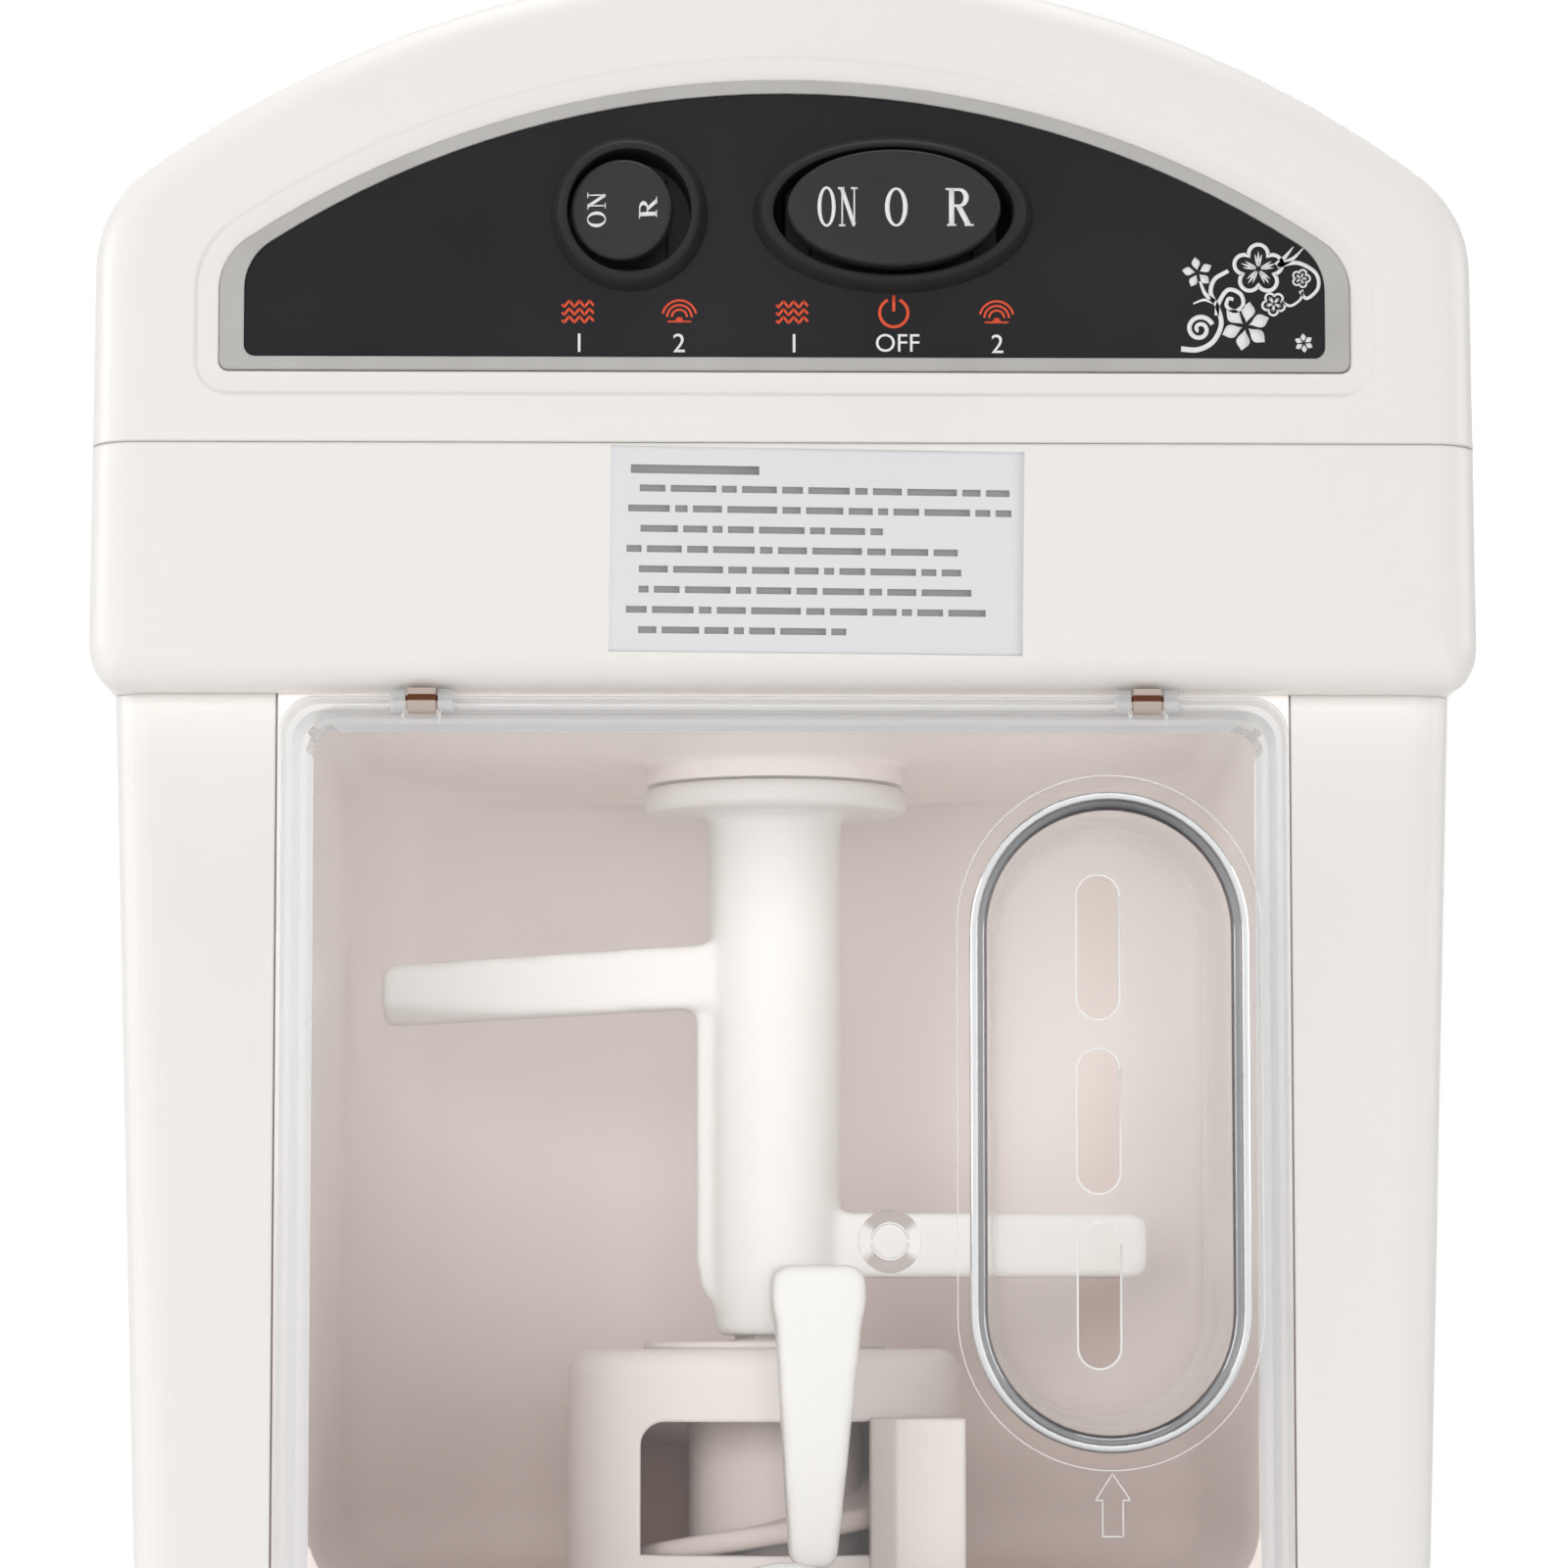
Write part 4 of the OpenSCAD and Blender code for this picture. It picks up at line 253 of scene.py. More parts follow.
def walled(obj, thickness, offset):
    """A Solidify modifier, with its thickness in millimetres. Offset -1 puts the wall inside the
    surface, 1 outside and 0 half to each side."""
    wall = obj.modifiers.new("wall", "SOLIDIFY")
    wall.thickness, wall.offset = thickness * MM, offset
    return obj


def cut(obj, *cutters, operation="DIFFERENCE"):
    """Takes closed cutters out of a closed object, or adds them to it, and removes them."""
    for cutter in cutters:
        mod = obj.modifiers.new("cut", "BOOLEAN")
        mod.solver = "EXACT"
        mod.operation = operation
        mod.object = cutter
        bpy.context.view_layer.update()
        settle(obj)
        bpy.data.objects.remove(cutter)
    return obj


def smooth_by_angle(obj, sharp=38):
    """Smooth shading with hard creases above an angle."""
    obj.data.shade_smooth()
    obj.data.set_sharp_from_angle(angle=math.radians(sharp))
    return obj


def join(name, objects):
    """One object from several, which are removed."""
    mesh = bpy.data.meshes.new(name)
    with editing(mesh, fill=False) as bm:
        for obj in objects:
            bm.from_mesh(obj.data)
            bpy.data.objects.remove(obj)
    return new_object(name, mesh)


def get_points(mesh):
    """The mesh's points as an array [n, 3], in metres."""
    co = np.empty(len(mesh.vertices) * 3)
    mesh.vertices.foreach_get("co", co)
    return co.reshape(-1, 3)


def place(obj, material, body, slot, *nodes):
    """Gives a finished piece its material, the body that it rides on and the nodes that it stands for, which
    are hidden; slot is not used. A list of materials goes to the faces by their material index."""
    obj.data.materials.clear()
    for finish in material if isinstance(material, list) else [material]:
        obj.data.materials.append(finish)
    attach(obj, body)
    if nodes:
        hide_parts(*nodes)
    return obj


# ---------------------------------------------------------------- outlines

def arc(centre, rx, rz, a, b, n):
    """n + 1 points of an ellipse arc round centre, from angle a to b in degrees."""
    t = np.radians(np.linspace(a, b, n + 1))
    return np.stack([centre[0] + rx * np.cos(t), centre[1] + rz * np.sin(t)], -1)


def arched(half_w, lean, bottom, top, arch, shoulder, low, inset=0.0, n=12, least=0.8):
    """Closed outline of an arched face in X and Z: elliptic lower corners, straight sides that
    lean in, round shoulders and a crown, each a tangent arc. The inset moves all of it inwards."""
    side = half_w - lean
    rise = math.sqrt((arch - shoulder) ** 2 - (side - shoulder) ** 2)
    turn = math.degrees(math.atan2(rise, side - shoulder))
    centre = np.array((0.0, top - arch))
    a = max(low[0] - inset, least)
    b = max(low[1] - inset, least)
    r_up = max(shoulder - inset, least)
    right = np.concatenate([
        arc((half_w - inset - a, bottom + inset + b), a, b, -90, 0, n),
        arc(centre + (side - shoulder, rise), r_up, r_up, 0, turn, n)])
    crown = arc(centre, arch - inset, arch - inset, turn, 180 - turn, 4 * n)
    return np.concatenate([right, crown, right[::-1] * (-1, 1)])


def trim_line(out=0.0, n=12):
    """The trim's outline, moved outwards by out."""
    s = TRIM_SIZES
    low = max(1.4 + out, 0.4)
    return arched(s["half_w"] + out, 0, s["bottom"] - out, s["top"] + out, s["arch"] + out,
                  s["shoulder"] + out, (low, low), 0, n, least=0.4)


def upright(outline, y):
    """Stands an outline in X and Z up at depth y."""
    outline = np.asarray(outline, float)
    depth = np.broadcast_to(np.asarray(y, float), outline.shape[:-1])
    return np.stack([outline[..., 0], depth, outline[..., 1]], -1)


def round_rect(half_w, low, high, r, n=10):
    """Closed rectangle outline with round corners, in X and Z."""
    r = min(r, half_w, (high - low) / 2)
    return np.concatenate([
        arc((half_w - r, low + r), r, r, -90, 0, n), arc((half_w - r, high - r), r, r, 0, 90, n),
        arc((r - half_w, high - r), r, r, 90, 180, n), arc((r - half_w, low + r), r, r, 180, 270, n)])


def racetrack(w, h, n=32, centre=PORT):
    """Closed slot outline with round ends, upright, in X and Z."""
    r = w / 2
    return np.concatenate([arc((centre[0], centre[1] + h / 2 - r), r, r, 0, 180, n),
                           arc((centre[0], centre[1] - h / 2 + r), r, r, 180, 360, n)])


def prism(name, outline, y_a, y_b):
    """Closed prism over an outline in X and Z, from y_a to y_b."""
    return capped(name, [upright(outline, y) for y in (y_a, y_b)])


def lathe_z(name, profile, centre, n=96):
    """Turns a profile of (radius, height) round a vertical axis; radius 0 closes the end."""
    t = np.linspace(0, TAU, n, endpoint=False)
    profile = np.asarray(profile, float)
    x = centre[0] + profile[:, :1] * np.cos(t)
    y = centre[1] + profile[:, :1] * np.sin(t)
    z = np.broadcast_to(profile[:, 1:], x.shape)
    return make(name, [("grid", np.stack([x, y, z], -1), True)])


def lofted(name, centre, rings, n=72, tilt=0.0, pivot_y=PIVOT_Y, closed=False):
    """Ellipses stacked along Y: each ring is (half width, half height, y). A half width of 0
    closes the end, and closed joins the last ring to the first. tilt turns it all round a
    vertical axis through the centre at pivot_y, in degrees."""
    rings = np.asarray(rings + rings[:1] if closed else rings, float)
    t = np.linspace(0, TAU, n, endpoint=False)
    x = rings[:, :1] * np.cos(t)
    z = rings[:, 1:2] * np.sin(t)
    y = np.broadcast_to(rings[:, 2:] - pivot_y, x.shape)
    c, s = math.cos(math.radians(tilt)), math.sin(math.radians(tilt))
    points = np.stack([centre[0] + c * x - s * y, pivot_y + s * x + c * y, centre[1] + z], -1)
    return make(name, [("grid", points, True)])


def lathe_y(name, profile, centre, n=64):
    """Turns a profile of (radius, y) round an axis along Y through centre (x, z)."""
    return lofted(name, centre, [(r, r, y) for r, y in profile], n)


def lathe_x(name, radius, x, width):
    """Cylinder along X round the hinge axis, centred at x."""
    t = np.linspace(0, TAU, 40, endpoint=False)
    y, z = HINGE_Y + radius * np.cos(t), HINGE_Z + radius * np.sin(t)
    return capped(name, [np.stack([np.full(40, at), y, z], -1) for at in (x - width / 2, x + width / 2)])


def box_mesh(name, low, high):
    """Closed box between two corners."""
    x, y, z = zip(low, high)
    return prism(name, [(x[0], z[0]), (x[1], z[0]), (x[1], z[1]), (x[0], z[1])], *y)


# ---------------------------------------------------------------- node groups and materials

def new_group(name, inputs, outputs):
    """An empty node group. Four values make an input a colour, three a vector and one a plain
    number. Of the outputs, only Colour is a colour."""
    tree = bpy.data.node_groups.new(name, "ShaderNodeTree")
    for key, value in inputs.items():
        kind = "NodeSocket" + {4: "Color", 3: "Vector"}.get(np.size(value), "Float")
        tree.interface.new_socket(name=key, in_out="INPUT", socket_type=kind).default_value = value
    for key in outputs:
        kind = "Color" if key == "Colour" else "Float"
        tree.interface.new_socket(name=key, in_out="OUTPUT", socket_type="NodeSocket" + kind)
    return tree, tree.nodes.new("NodeGroupInput").outputs, tree.nodes.new("NodeGroupOutput").inputs


def feed(tree, value, target):
    """Links a socket to an input, or sets a plain value on it."""
    if hasattr(value, "links"):
        tree.links.new(value, target)
    else:
        target.default_value = value


def node(tree, kind, **values):
    """A node with its settings and with plain values or links on its inputs."""
    n = tree.nodes.new("ShaderNode" + kind)
    for key, value in values.items():
        if hasattr(n, key) and key not in n.inputs:
            setattr(n, key, value)
        else:
            feed(tree, value, n.inputs[key.replace("_", " ")])
    return n


def maths(tree, operation, *values):
    """The result of one Math node."""
    n = node(tree, "Math", operation=operation)
    for value, target in zip(values, n.inputs):
        feed(tree, value, target)
    return n.outputs[0]


def blend_colour(tree, factor, a, b, how="MIX"):
    """Colour b over colour a by a factor."""
    n = node(tree, "Mix", data_type="RGBA", blend_type=how)
    for key, value in ((0, factor), (6, a), (7, b)):
        feed(tree, value, n.inputs[key])
    return n.outputs[2]


def object_place(tree):
    """Object coordinates as one vector."""
    return node(tree, "TexCoord").outputs["Object"]


def noise(tree, where, scale, detail, roughness=0.5):
    """Noise from 0 to 1 over a place."""
    cloud = node(tree, "TexNoise", Vector=where, Scale=scale, Detail=detail, Roughness=roughness)
    return cloud.outputs["Fac"]


def moulded_group():
    """Moulded plastic: broad faint clouds in the colour, a fine pebble in the surface, and a
    roughness that wanders a little with both."""
    tree, given, out = new_group(
        "moulded surface",
        {"Colour": (0.8, 0.8, 0.8, 1), "Clouds": 0.02, "Roughness": 0.35, "Spread": 0.06, "Pebble": 900.0},
        ("Colour", "Roughness", "Height"))
    where = object_place(tree)
    broad = noise(tree, where, 14.0, 3.0, 0.6)
    fine = noise(tree, where, given["Pebble"], 2.0, 0.55)
    swing = maths(tree, "SUBTRACT", broad, 0.5)
    clouds = maths(tree, "MULTIPLY", given["Clouds"], 4.0)
    dark = blend_colour(tree, clouds, given["Colour"], (0.35, 0.32, 0.3, 1))
    feed(tree, blend_colour(tree, maths(tree, "ADD", swing, 0.35), given["Colour"], dark), out["Colour"])
    both = maths(tree, "ADD", swing, maths(tree, "SUBTRACT", fine, 0.5))
    wander = maths(tree, "MULTIPLY", both, given["Spread"])
    feed(tree, maths(tree, "ADD", given["Roughness"], wander), out["Roughness"])
    feed(tree, fine, out["Height"])
    return tree


def machined_group():
    """Machined or rolled metal: long streaks along one axis that vary colour and roughness."""
    tree, given, out = new_group(
        "machined surface",
        {"Colour": (0.6, 0.6, 0.6, 1), "Stain": (0.3, 0.3, 0.3, 1), "Roughness": 0.3,
         "Streak": (40.0, 40.0, 900.0)},
        ("Colour", "Roughness", "Height"))
    where = object_place(tree)
    stretch = node(tree, "VectorMath", operation="MULTIPLY")
    feed(tree, where, stretch.inputs[0])
    feed(tree, given["Streak"], stretch.inputs[1])
    streak = noise(tree, stretch.outputs[0], 1.0, 4.0, 0.65)
    patch = noise(tree, where, 60.0, 3.0)
    amount = maths(tree, "MULTIPLY", streak, patch)
    stain = maths(tree, "MULTIPLY", amount, 0.7)
    feed(tree, blend_colour(tree, stain, given["Colour"], given["Stain"]), out["Colour"])
    swing = maths(tree, "MULTIPLY", maths(tree, "SUBTRACT", amount, 0.25), 0.3)
    feed(tree, maths(tree, "ADD", given["Roughness"], swing), out["Roughness"])
    feed(tree, streak, out["Height"])
    return tree


GROUPS = {}


def group(tree, name, **values):
    """Places a shared effect in a material with its own values."""
    if name not in GROUPS:
        GROUPS[name] = {"moulded": moulded_group, "machined": machined_group}[name]()
    n = node(tree, "Group", node_tree=GROUPS[name])
    for key, value in values.items():
        n.inputs[key].default_value = value
    return n.outputs


def principled(name, **values):
    """A material with plain values on its Principled shader's inputs."""
    mat = bpy.data.materials.new(name)
    mat.use_nodes = True
    shader = mat.node_tree.nodes["Principled BSDF"]
    for key, value in values.items():
        shader.inputs[key.replace("_", " ")].default_value = value
    return mat, mat.node_tree, shader.inputs


def show(tree, factor, other):
    """Puts another shader over the material's own by a factor."""
    mix = node(tree, "MixShader")
    own = tree.nodes["Principled BSDF"].outputs[0]
    for value, target in zip((factor, own, other), mix.inputs):
        feed(tree, value, target)
    feed(tree, mix.outputs[0], tree.nodes["Material Output"].inputs["Surface"])


def soft_normal(tree, height, depth, radius):
    """Bump from a height, on normals that are rounded over edges within radius."""
    bump = node(tree, "Bump", Distance=depth, Strength=0.6, Height=height)
    if radius:
        feed(tree, node(tree, "Bevel", samples=6, Radius=radius).outputs[0], bump.inputs["Normal"])
    return bump.outputs[0]


def moulded(name, colour, roughness=0.35, clouds=0.015, spread=0.06, pebble=900.0, depth=0.00002,
            radius=0.0006, coat=0.0, subsurface=0.0, shine=0.5):
    """Plastic or rubber."""
    mat, tree, shader = principled(name, Specular_IOR_Level=shine, Coat_Weight=coat, Coat_Roughness=0.12)
    skin = group(tree, "moulded", Colour=(*colour, 1), Clouds=clouds, Roughness=roughness, Spread=spread,
                 Pebble=pebble)
    feed(tree, skin["Colour"], shader["Base Color"])
    feed(tree, skin["Roughness"], shader["Roughness"])
    feed(tree, soft_normal(tree, skin["Height"], depth, radius), shader["Normal"])
    if subsurface:
        shader["Subsurface Weight"].default_value = subsurface
        shader["Subsurface Radius"].default_value = (1.0, 0.8, 0.7)
        shader["Subsurface Scale"].default_value = 0.003
    return mat


def machined(name, colour, stain, roughness=0.3, streak=(40.0, 40.0, 900.0), metallic=1.0, depth=0.00001,
             radius=0.0004):
    """Metal with fine tool marks."""
    mat, tree, shader = principled(name, Metallic=metallic)
    skin = group(tree, "machined", Colour=(*colour, 1), Stain=(*stain, 1), Roughness=roughness,
                 Streak=streak)
    feed(tree, skin["Colour"], shader["Base Color"])
    feed(tree, skin["Roughness"], shader["Roughness"])
    feed(tree, soft_normal(tree, skin["Height"], depth, radius), shader["Normal"])
    return mat


def tint_where(mat, mask, tint):
    """Multiplies a material's base colour by a tint where the mask is 1."""
    tree = mat.node_tree
    base = tree.nodes["Principled BSDF"].inputs["Base Color"]
    feed(tree, blend_colour(tree, mask, base.links[0].from_socket, (*tint, 1), "MULTIPLY"), base)


def axes(tree, of="Object"):
    """The X, Y and Z of Object coordinates, or of the normal."""
    return node(tree, "SeparateXYZ", Vector=node(tree, "TexCoord").outputs[of]).outputs


def ramp_between(tree, value, low, high):
    """0 at low to 1 at high, smoothly."""
    return node(tree, "MapRange", interpolation_type="SMOOTHSTEP", Value=value, From_Min=low,
                From_Max=high).outputs["Result"]


def painted_shade_low(mat, tint):
    """Painted shade: deeper colour towards the tub's floor, standing in for the shade that falls low in the
    tub.
    """
    tree = mat.node_tree
    up = ramp_between(tree, axes(tree)[2], TUB_DARK_Z * MM, TUB_LIGHT_Z * MM)
    tint_where(mat, maths(tree, "SUBTRACT", 1.0, up), tint)


def painted_shade_band(mat, tint, low, high):
    """Painted shade: deeper colour between two heights, given in millimetres."""
    tree = mat.node_tree
    z = axes(tree)[2]
    over, under = maths(tree, "GREATER_THAN", z, low * MM), maths(tree, "LESS_THAN", z, high * MM)
    tint_where(mat, maths(tree, "MULTIPLY", over, under), tint)


def painted_shade_inner(mat, tint, y):
    """Painted shade: deeper colour on what lies behind the depth y, in millimetres."""
    tree = mat.node_tree
    tint_where(mat, maths(tree, "GREATER_THAN", axes(tree)[1], y * MM), tint)


def painted_shade_ends(mat, tint, low=0.35, high=0.8):
    """Painted reflection and shade: deeper colour where an edge faces up or down, standing in for the less
    light that a polished edge mirrors there: none where the normal's share along Z is low, and all of it
    where that share is high."""
    tree = mat.node_tree
    steep = maths(tree, "ABSOLUTE", axes(tree, "Normal")[2])
    tint_where(mat, ramp_between(tree, steep, low, high), tint)


def painted_bore_shade(mat, tint):
    """Painted shadow: deeper colour below the barrel's top on what lies within its bore, round the drive
    axis, standing in for the shade inside the barrel.
    """
    tree = mat.node_tree
    x, y, z = axes(tree)
    side = maths(tree, "POWER", maths(tree, "ABSOLUTE", x), 2.0)
    along = maths(tree, "POWER", maths(tree, "ABSOLUTE", maths(tree, "SUBTRACT", y, DRIVE_Y * MM)), 2.0)
    radius = maths(tree, "SQRT", maths(tree, "ADD", side, along))
    inside = maths(tree, "SUBTRACT", 1.0, ramp_between(tree, radius, BORE_R * MM, (BORE_R + 2.9) * MM))
    below = maths(tree, "LESS_THAN", z, BARREL_TOP_Z * MM)
    tint_where(mat, maths(tree, "MULTIPLY", inside, below), tint)


def rays(tree, *kinds):
    """1 for rays of the named kinds, from Light Path."""
    path = node(tree, "LightPath").outputs
    total = path[kinds[0]]
    for kind in kinds[1:]:
        total = maths(tree, "MAXIMUM", total, path[kind])
    return total


def clear_plastic(name, tint, roughness=0.015, radius=0.0):
    """Clear moulded plastic that lets light through to what stands behind it."""
    mat, tree, shader = principled(name, Base_Color=(*tint, 1), Roughness=roughness,
                                   Transmission_Weight=1.0, IOR=1.49)
    flow = noise(tree, object_place(tree), 45.0, 1.0)
    feed(tree, soft_normal(tree, flow, 0.00002, radius), shader["Normal"])
    open_way = node(tree, "BsdfTransparent", Color=(0.985, 0.985, 0.985, 1))
    show(tree, rays(tree, "Is Shadow Ray", "Is Diffuse Ray"), open_way.outputs[0])
    return mat


def thin_clear(name, colour, veil, gain, roughness=0.12, most=1.0):
    """Thin clear plastic: its cover grows from a faint veil, seen square on, towards solid at a glancing
    angle, as veil + gain times the Fresnel share, and stops at most. What covers is the plastic's own colour,
    lit: a painted reflection in place of the one that clear plastic gives."""
    mat, tree, shader = principled(name)
    skin = group(tree, "moulded", Colour=(*colour, 1), Clouds=0.002, Roughness=roughness, Spread=0.05,
                 Pebble=60.0)
    feed(tree, skin["Colour"], shader["Base Color"])
    feed(tree, skin["Roughness"], shader["Roughness"])
    edge = node(tree, "Fresnel", IOR=1.49).outputs[0]
    amount = maths(tree, "MINIMUM", maths(tree, "ADD", maths(tree, "MULTIPLY", edge, gain), veil), most)
    seen = maths(tree, "SUBTRACT", 1.0, rays(tree, "Is Shadow Ray", "Is Diffuse Ray"))
    feed(tree, maths(tree, "MULTIPLY", amount, seen), shader["Alpha"])
    return mat


MATERIALS = {}


def make_materials(shells, cover, prints):
    """Every finish of the pasta maker, kept by name."""
    m = MATERIALS
    bare = dict(radius=0.0)
    for key, name, tint, roughness, values in (
            ("shell", "gloss white shell", shells.shell, 0.34,
             dict(clouds=0.004, spread=0.04, pebble=700.0, depth=0.000006, shine=0.35)),
            ("tub", "tub plastic", shells.tub, 0.34, dict(clouds=0.006, depth=0.000008, shine=0.4)),
            ("moving", "white moving parts", linear(231, 230, 227), 0.32,
             dict(clouds=0.004, depth=0.00001, radius=0.0012, subsurface=0.15)),
            ("barrel", "barrel plastic", linear(228, 222, 218), 0.38,
             dict(clouds=0.006, depth=0.00001, radius=0.0012)),
            ("screw", "screw plastic", linear(212, 200, 194), 0.36, dict(clouds=0.01)),
            ("panel", "panel film", shells.panel, 0.42,
             dict(bare, clouds=0.02, spread=0.08, pebble=2600.0, shine=0.12)),
            ("switch", "switch black", linear(36, 36, 39), 0.36,
             dict(bare, clouds=0.02, pebble=1500.0, depth=0.00001, shine=0.25)),
            ("bezel", "bezel black", linear(32, 32, 34), 0.5,
             dict(bare, clouds=0.02, pebble=2200.0, depth=0.00003, shine=0.2)),
            ("dark", "dark plastic", linear(40, 41, 44), 0.5,
             dict(clouds=0.03, pebble=1500.0, depth=0.00004)),
            ("rubber", "foot rubber", linear(74, 75, 79), 0.75,
             dict(clouds=0.05, pebble=1200.0, depth=0.00006)),
            ("seal", "seal rubber", linear(170, 74, 60), 0.6, dict(clouds=0.04)),
            ("nylon", "gear nylon", linear(232, 226, 207), 0.42,
             dict(clouds=0.02, subsurface=0.1, radius=0.0003)),
            ("board", "board laminate", linear(46, 107, 71), 0.4,
             dict(clouds=0.06, pebble=1800.0, depth=0.00003)),
            # Painted shade: the hooks' grey-pink stands in for their shade under the head
            ("hook", "hook in painted shade", linear(190, 176, 167), 0.5, dict(bare, clouds=0.01, shine=0.2)),
            ("symbols", "symbol print", prints.symbols, 0.5, dict(bare, clouds=0.01)),
            ("letters", "letter print", prints.letters, 0.5, dict(bare, clouds=0.01)),
            ("grey_print", "grey ruled print", linear(146, 145, 146), 0.55, dict(bare, clouds=0.02)),
            ("film", "label film", linear(226, 226, 228), 0.3,
             dict(bare, clouds=0.01, spread=0.05, coat=0.2))):
        m[key] = moulded(name, tint, roughness, **values)
    # Painted shade: the tub's colour deepens towards its floor
    painted_shade_low(m["tub"], (0.79, 0.73, 0.715))
    # Painted shadow: a deep brown on the barrel's bore
    painted_bore_shade(m["barrel"], (0.5, 0.29, 0.22))
    # Painted shadow: a brown band on the hooks at the gap under the head
    painted_shade_band(m["hook"], (0.22, 0.09, 0.045), HINGE_Z + 0.1, HINGE_Z + 1.1)
    for key, name, grey, stain, roughness, streak in (
            ("steel", "steel plate", (176, 178, 182), (120, 122, 126), 0.32, (40, 40, 900)),
            ("bright", "bright steel", (206, 208, 211), (150, 152, 156), 0.18, (900, 900, 40)),
            ("zinc", "zinc screws", (188, 190, 194), (130, 130, 128), 0.3, (300, 300, 300)),
            ("iron", "laminated iron", (126, 128, 132), (70, 66, 62), 0.45, (20, 20, 2400)),
            ("copper", "enamelled copper", (178, 104, 58), (120, 58, 30), 0.3, (30, 30, 1800)),
            ("brass", "brass pins", (198, 170, 104), (140, 112, 60), 0.25, (40, 40, 900)),
            ("die", "die metal", (214, 210, 204), (160, 156, 150), 0.3, (200, 200, 60)),
            ("ring", "bright knob ring", (196, 198, 201), (150, 152, 154), 0.22, (80, 80, 80)),
            ("rim", "polished clear rim", (232, 233, 234), (190, 192, 194), 0.14, (60, 60, 25))):
        m[key] = machined(name, linear(*grey), linear(*stain), roughness, streak)
    m["trim"] = machined("silver trim", shells.trim, linear(168, 165, 162), 0.45, (60, 60, 60),
                         metallic=0.2, radius=0.0005)
    # Painted reflection: the rim is darker on its inner slope and where it faces up or down
    painted_shade_inner(m["rim"], (0.42, 0.42, 0.43), COVER_FACE_Y - 0.62)
    painted_shade_ends(m["rim"], (0.45, 0.45, 0.46))
    m["clear"] = clear_plastic("clear plastic", cover.tint)
    # Painted reflection: a faint white veil over the pocket stands in for the bright surroundings that it
    # reflects
    m["pocket"] = thin_clear("clear pocket plastic", linear(246, 245, 244), 0.11, 1.0, most=0.3)
    # Painted reflection: a grey half-opaque finish for the cover's walls and rim
    m["clear_edge"] = thin_clear("clear cover edge", linear(214, 216, 217), 0.42, 0.9, 0.1, most=0.72)
    m["dimple"] = thin_clear("moulded dimple", linear(243, 241, 239), 0.62, 0.8, 0.12, most=0.85)
    # Painted shade: a brown tint where the dimple's ring faces up or down
    painted_shade_ends(m["dimple"], (0.4, 0.32, 0.29), 0.06, 0.11)
    m["lines"] = thin_clear("moulded line", linear(246, 244, 243), 0.4, 1.5, 0.3)
    # Painted highlight for the bright cut edges of the slots and notches
    m["slot_edges"] = thin_clear("painted slot edge highlight", linear(252, 251, 250), 0.85, 1.0, 0.3)


CAD_FINISH = {
    "shell": ["housing", "base_plate", "back_cover", "head_band", "head_cover"],
    "hook": ["hinge_hooks"],
    "tub": ["mixing_tub"],
    "moving": ["stirrer", "lock_knob", "lock_cam", "die_nut"],
    "barrel": ["screw_barrel", "barrel_washer"],
    "screw": ["auger"],
    "clear": ["front_cover", "fill_port_cup"],
    "panel": ["control_panel"],
    "bezel": ["round_bezel", "oval_bezel"],
    "switch": ["round_rocker", "oval_rocker"],
    "trim": ["panel_trim"],
    "ring": ["lock_knob_ring"],
    "dark": ["round_switch_body", "oval_switch_body", "reed_switch", "mains_inlet", "cooling_fan",
             "shaft_seal"],
    "rubber": ["rubber_feet"],
    "seal": ["die_seal"],
    "nylon": ["output_gear", "second_wheel", "first_wheel"],
    "board": ["control_board"],
    "steel": ["lower_gear_plate", "upper_gear_plate", "motor_top_bracket", "motor_bottom_bracket"],
    "bright": ["gear_posts", "gear_pins", "output_bearings", "motor_bearings", "output_shaft",
               "motor_shaft", "motor_pinion", "cover_magnet", "run_capacitor"],
    "zinc": ["foot_screws", "back_screws", "head_screws", "motor_bolts"],
    "iron": ["stator_core", "rotor_core"],
    "copper": ["stator_windings"],
    "brass": ["inlet_pins"],
    "die": ["die_plate"],
}


class PASTA_OT_finishes(bpy.types.Operator):
    """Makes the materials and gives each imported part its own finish"""
    bl_idname = "pasta_maker.finishes"
    bl_label = "Finishes"

    def execute(self, context):
        s = context.scene
        make_materials(s.pasta_shells, s.pasta_cover, s.pasta_prints)
        left = set(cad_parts)
        for finish, names in CAD_FINISH.items():
            for name in names:
                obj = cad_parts[name]
                for slot in obj.material_slots:
                    slot.material = MATERIALS[finish]
                left.discard(name)
        if left:
            raise RuntimeError(f"no finish for {sorted(left)}")
        return {"FINISHED"}


# ---------------------------------------------------------------- head

def roll(inset_max, n=12):
    """Insets and depths of a quarter-round edge: inset r(1 - sin a), depth r(1 - cos a)."""
    a = np.radians(np.linspace(0, 90, n + 1))
    return inset_max * (1 - np.sin(a)), inset_max * (1 - np.cos(a))


def head_over(inset, z_low, n=12):
    """Open outline over the head's top: up the right side from z_low, over the crown, down the left."""
    lean = HEAD_LEAN * (HEAD_EVEN_Z - z_low)
    loop = arched(HEAD_HALF - HEAD_DRAFT + lean, lean, z_low - inset, low=(0, 0), inset=inset, n=n, least=0,
                  **HEAD_SIZES)
    return loop[n:-n]


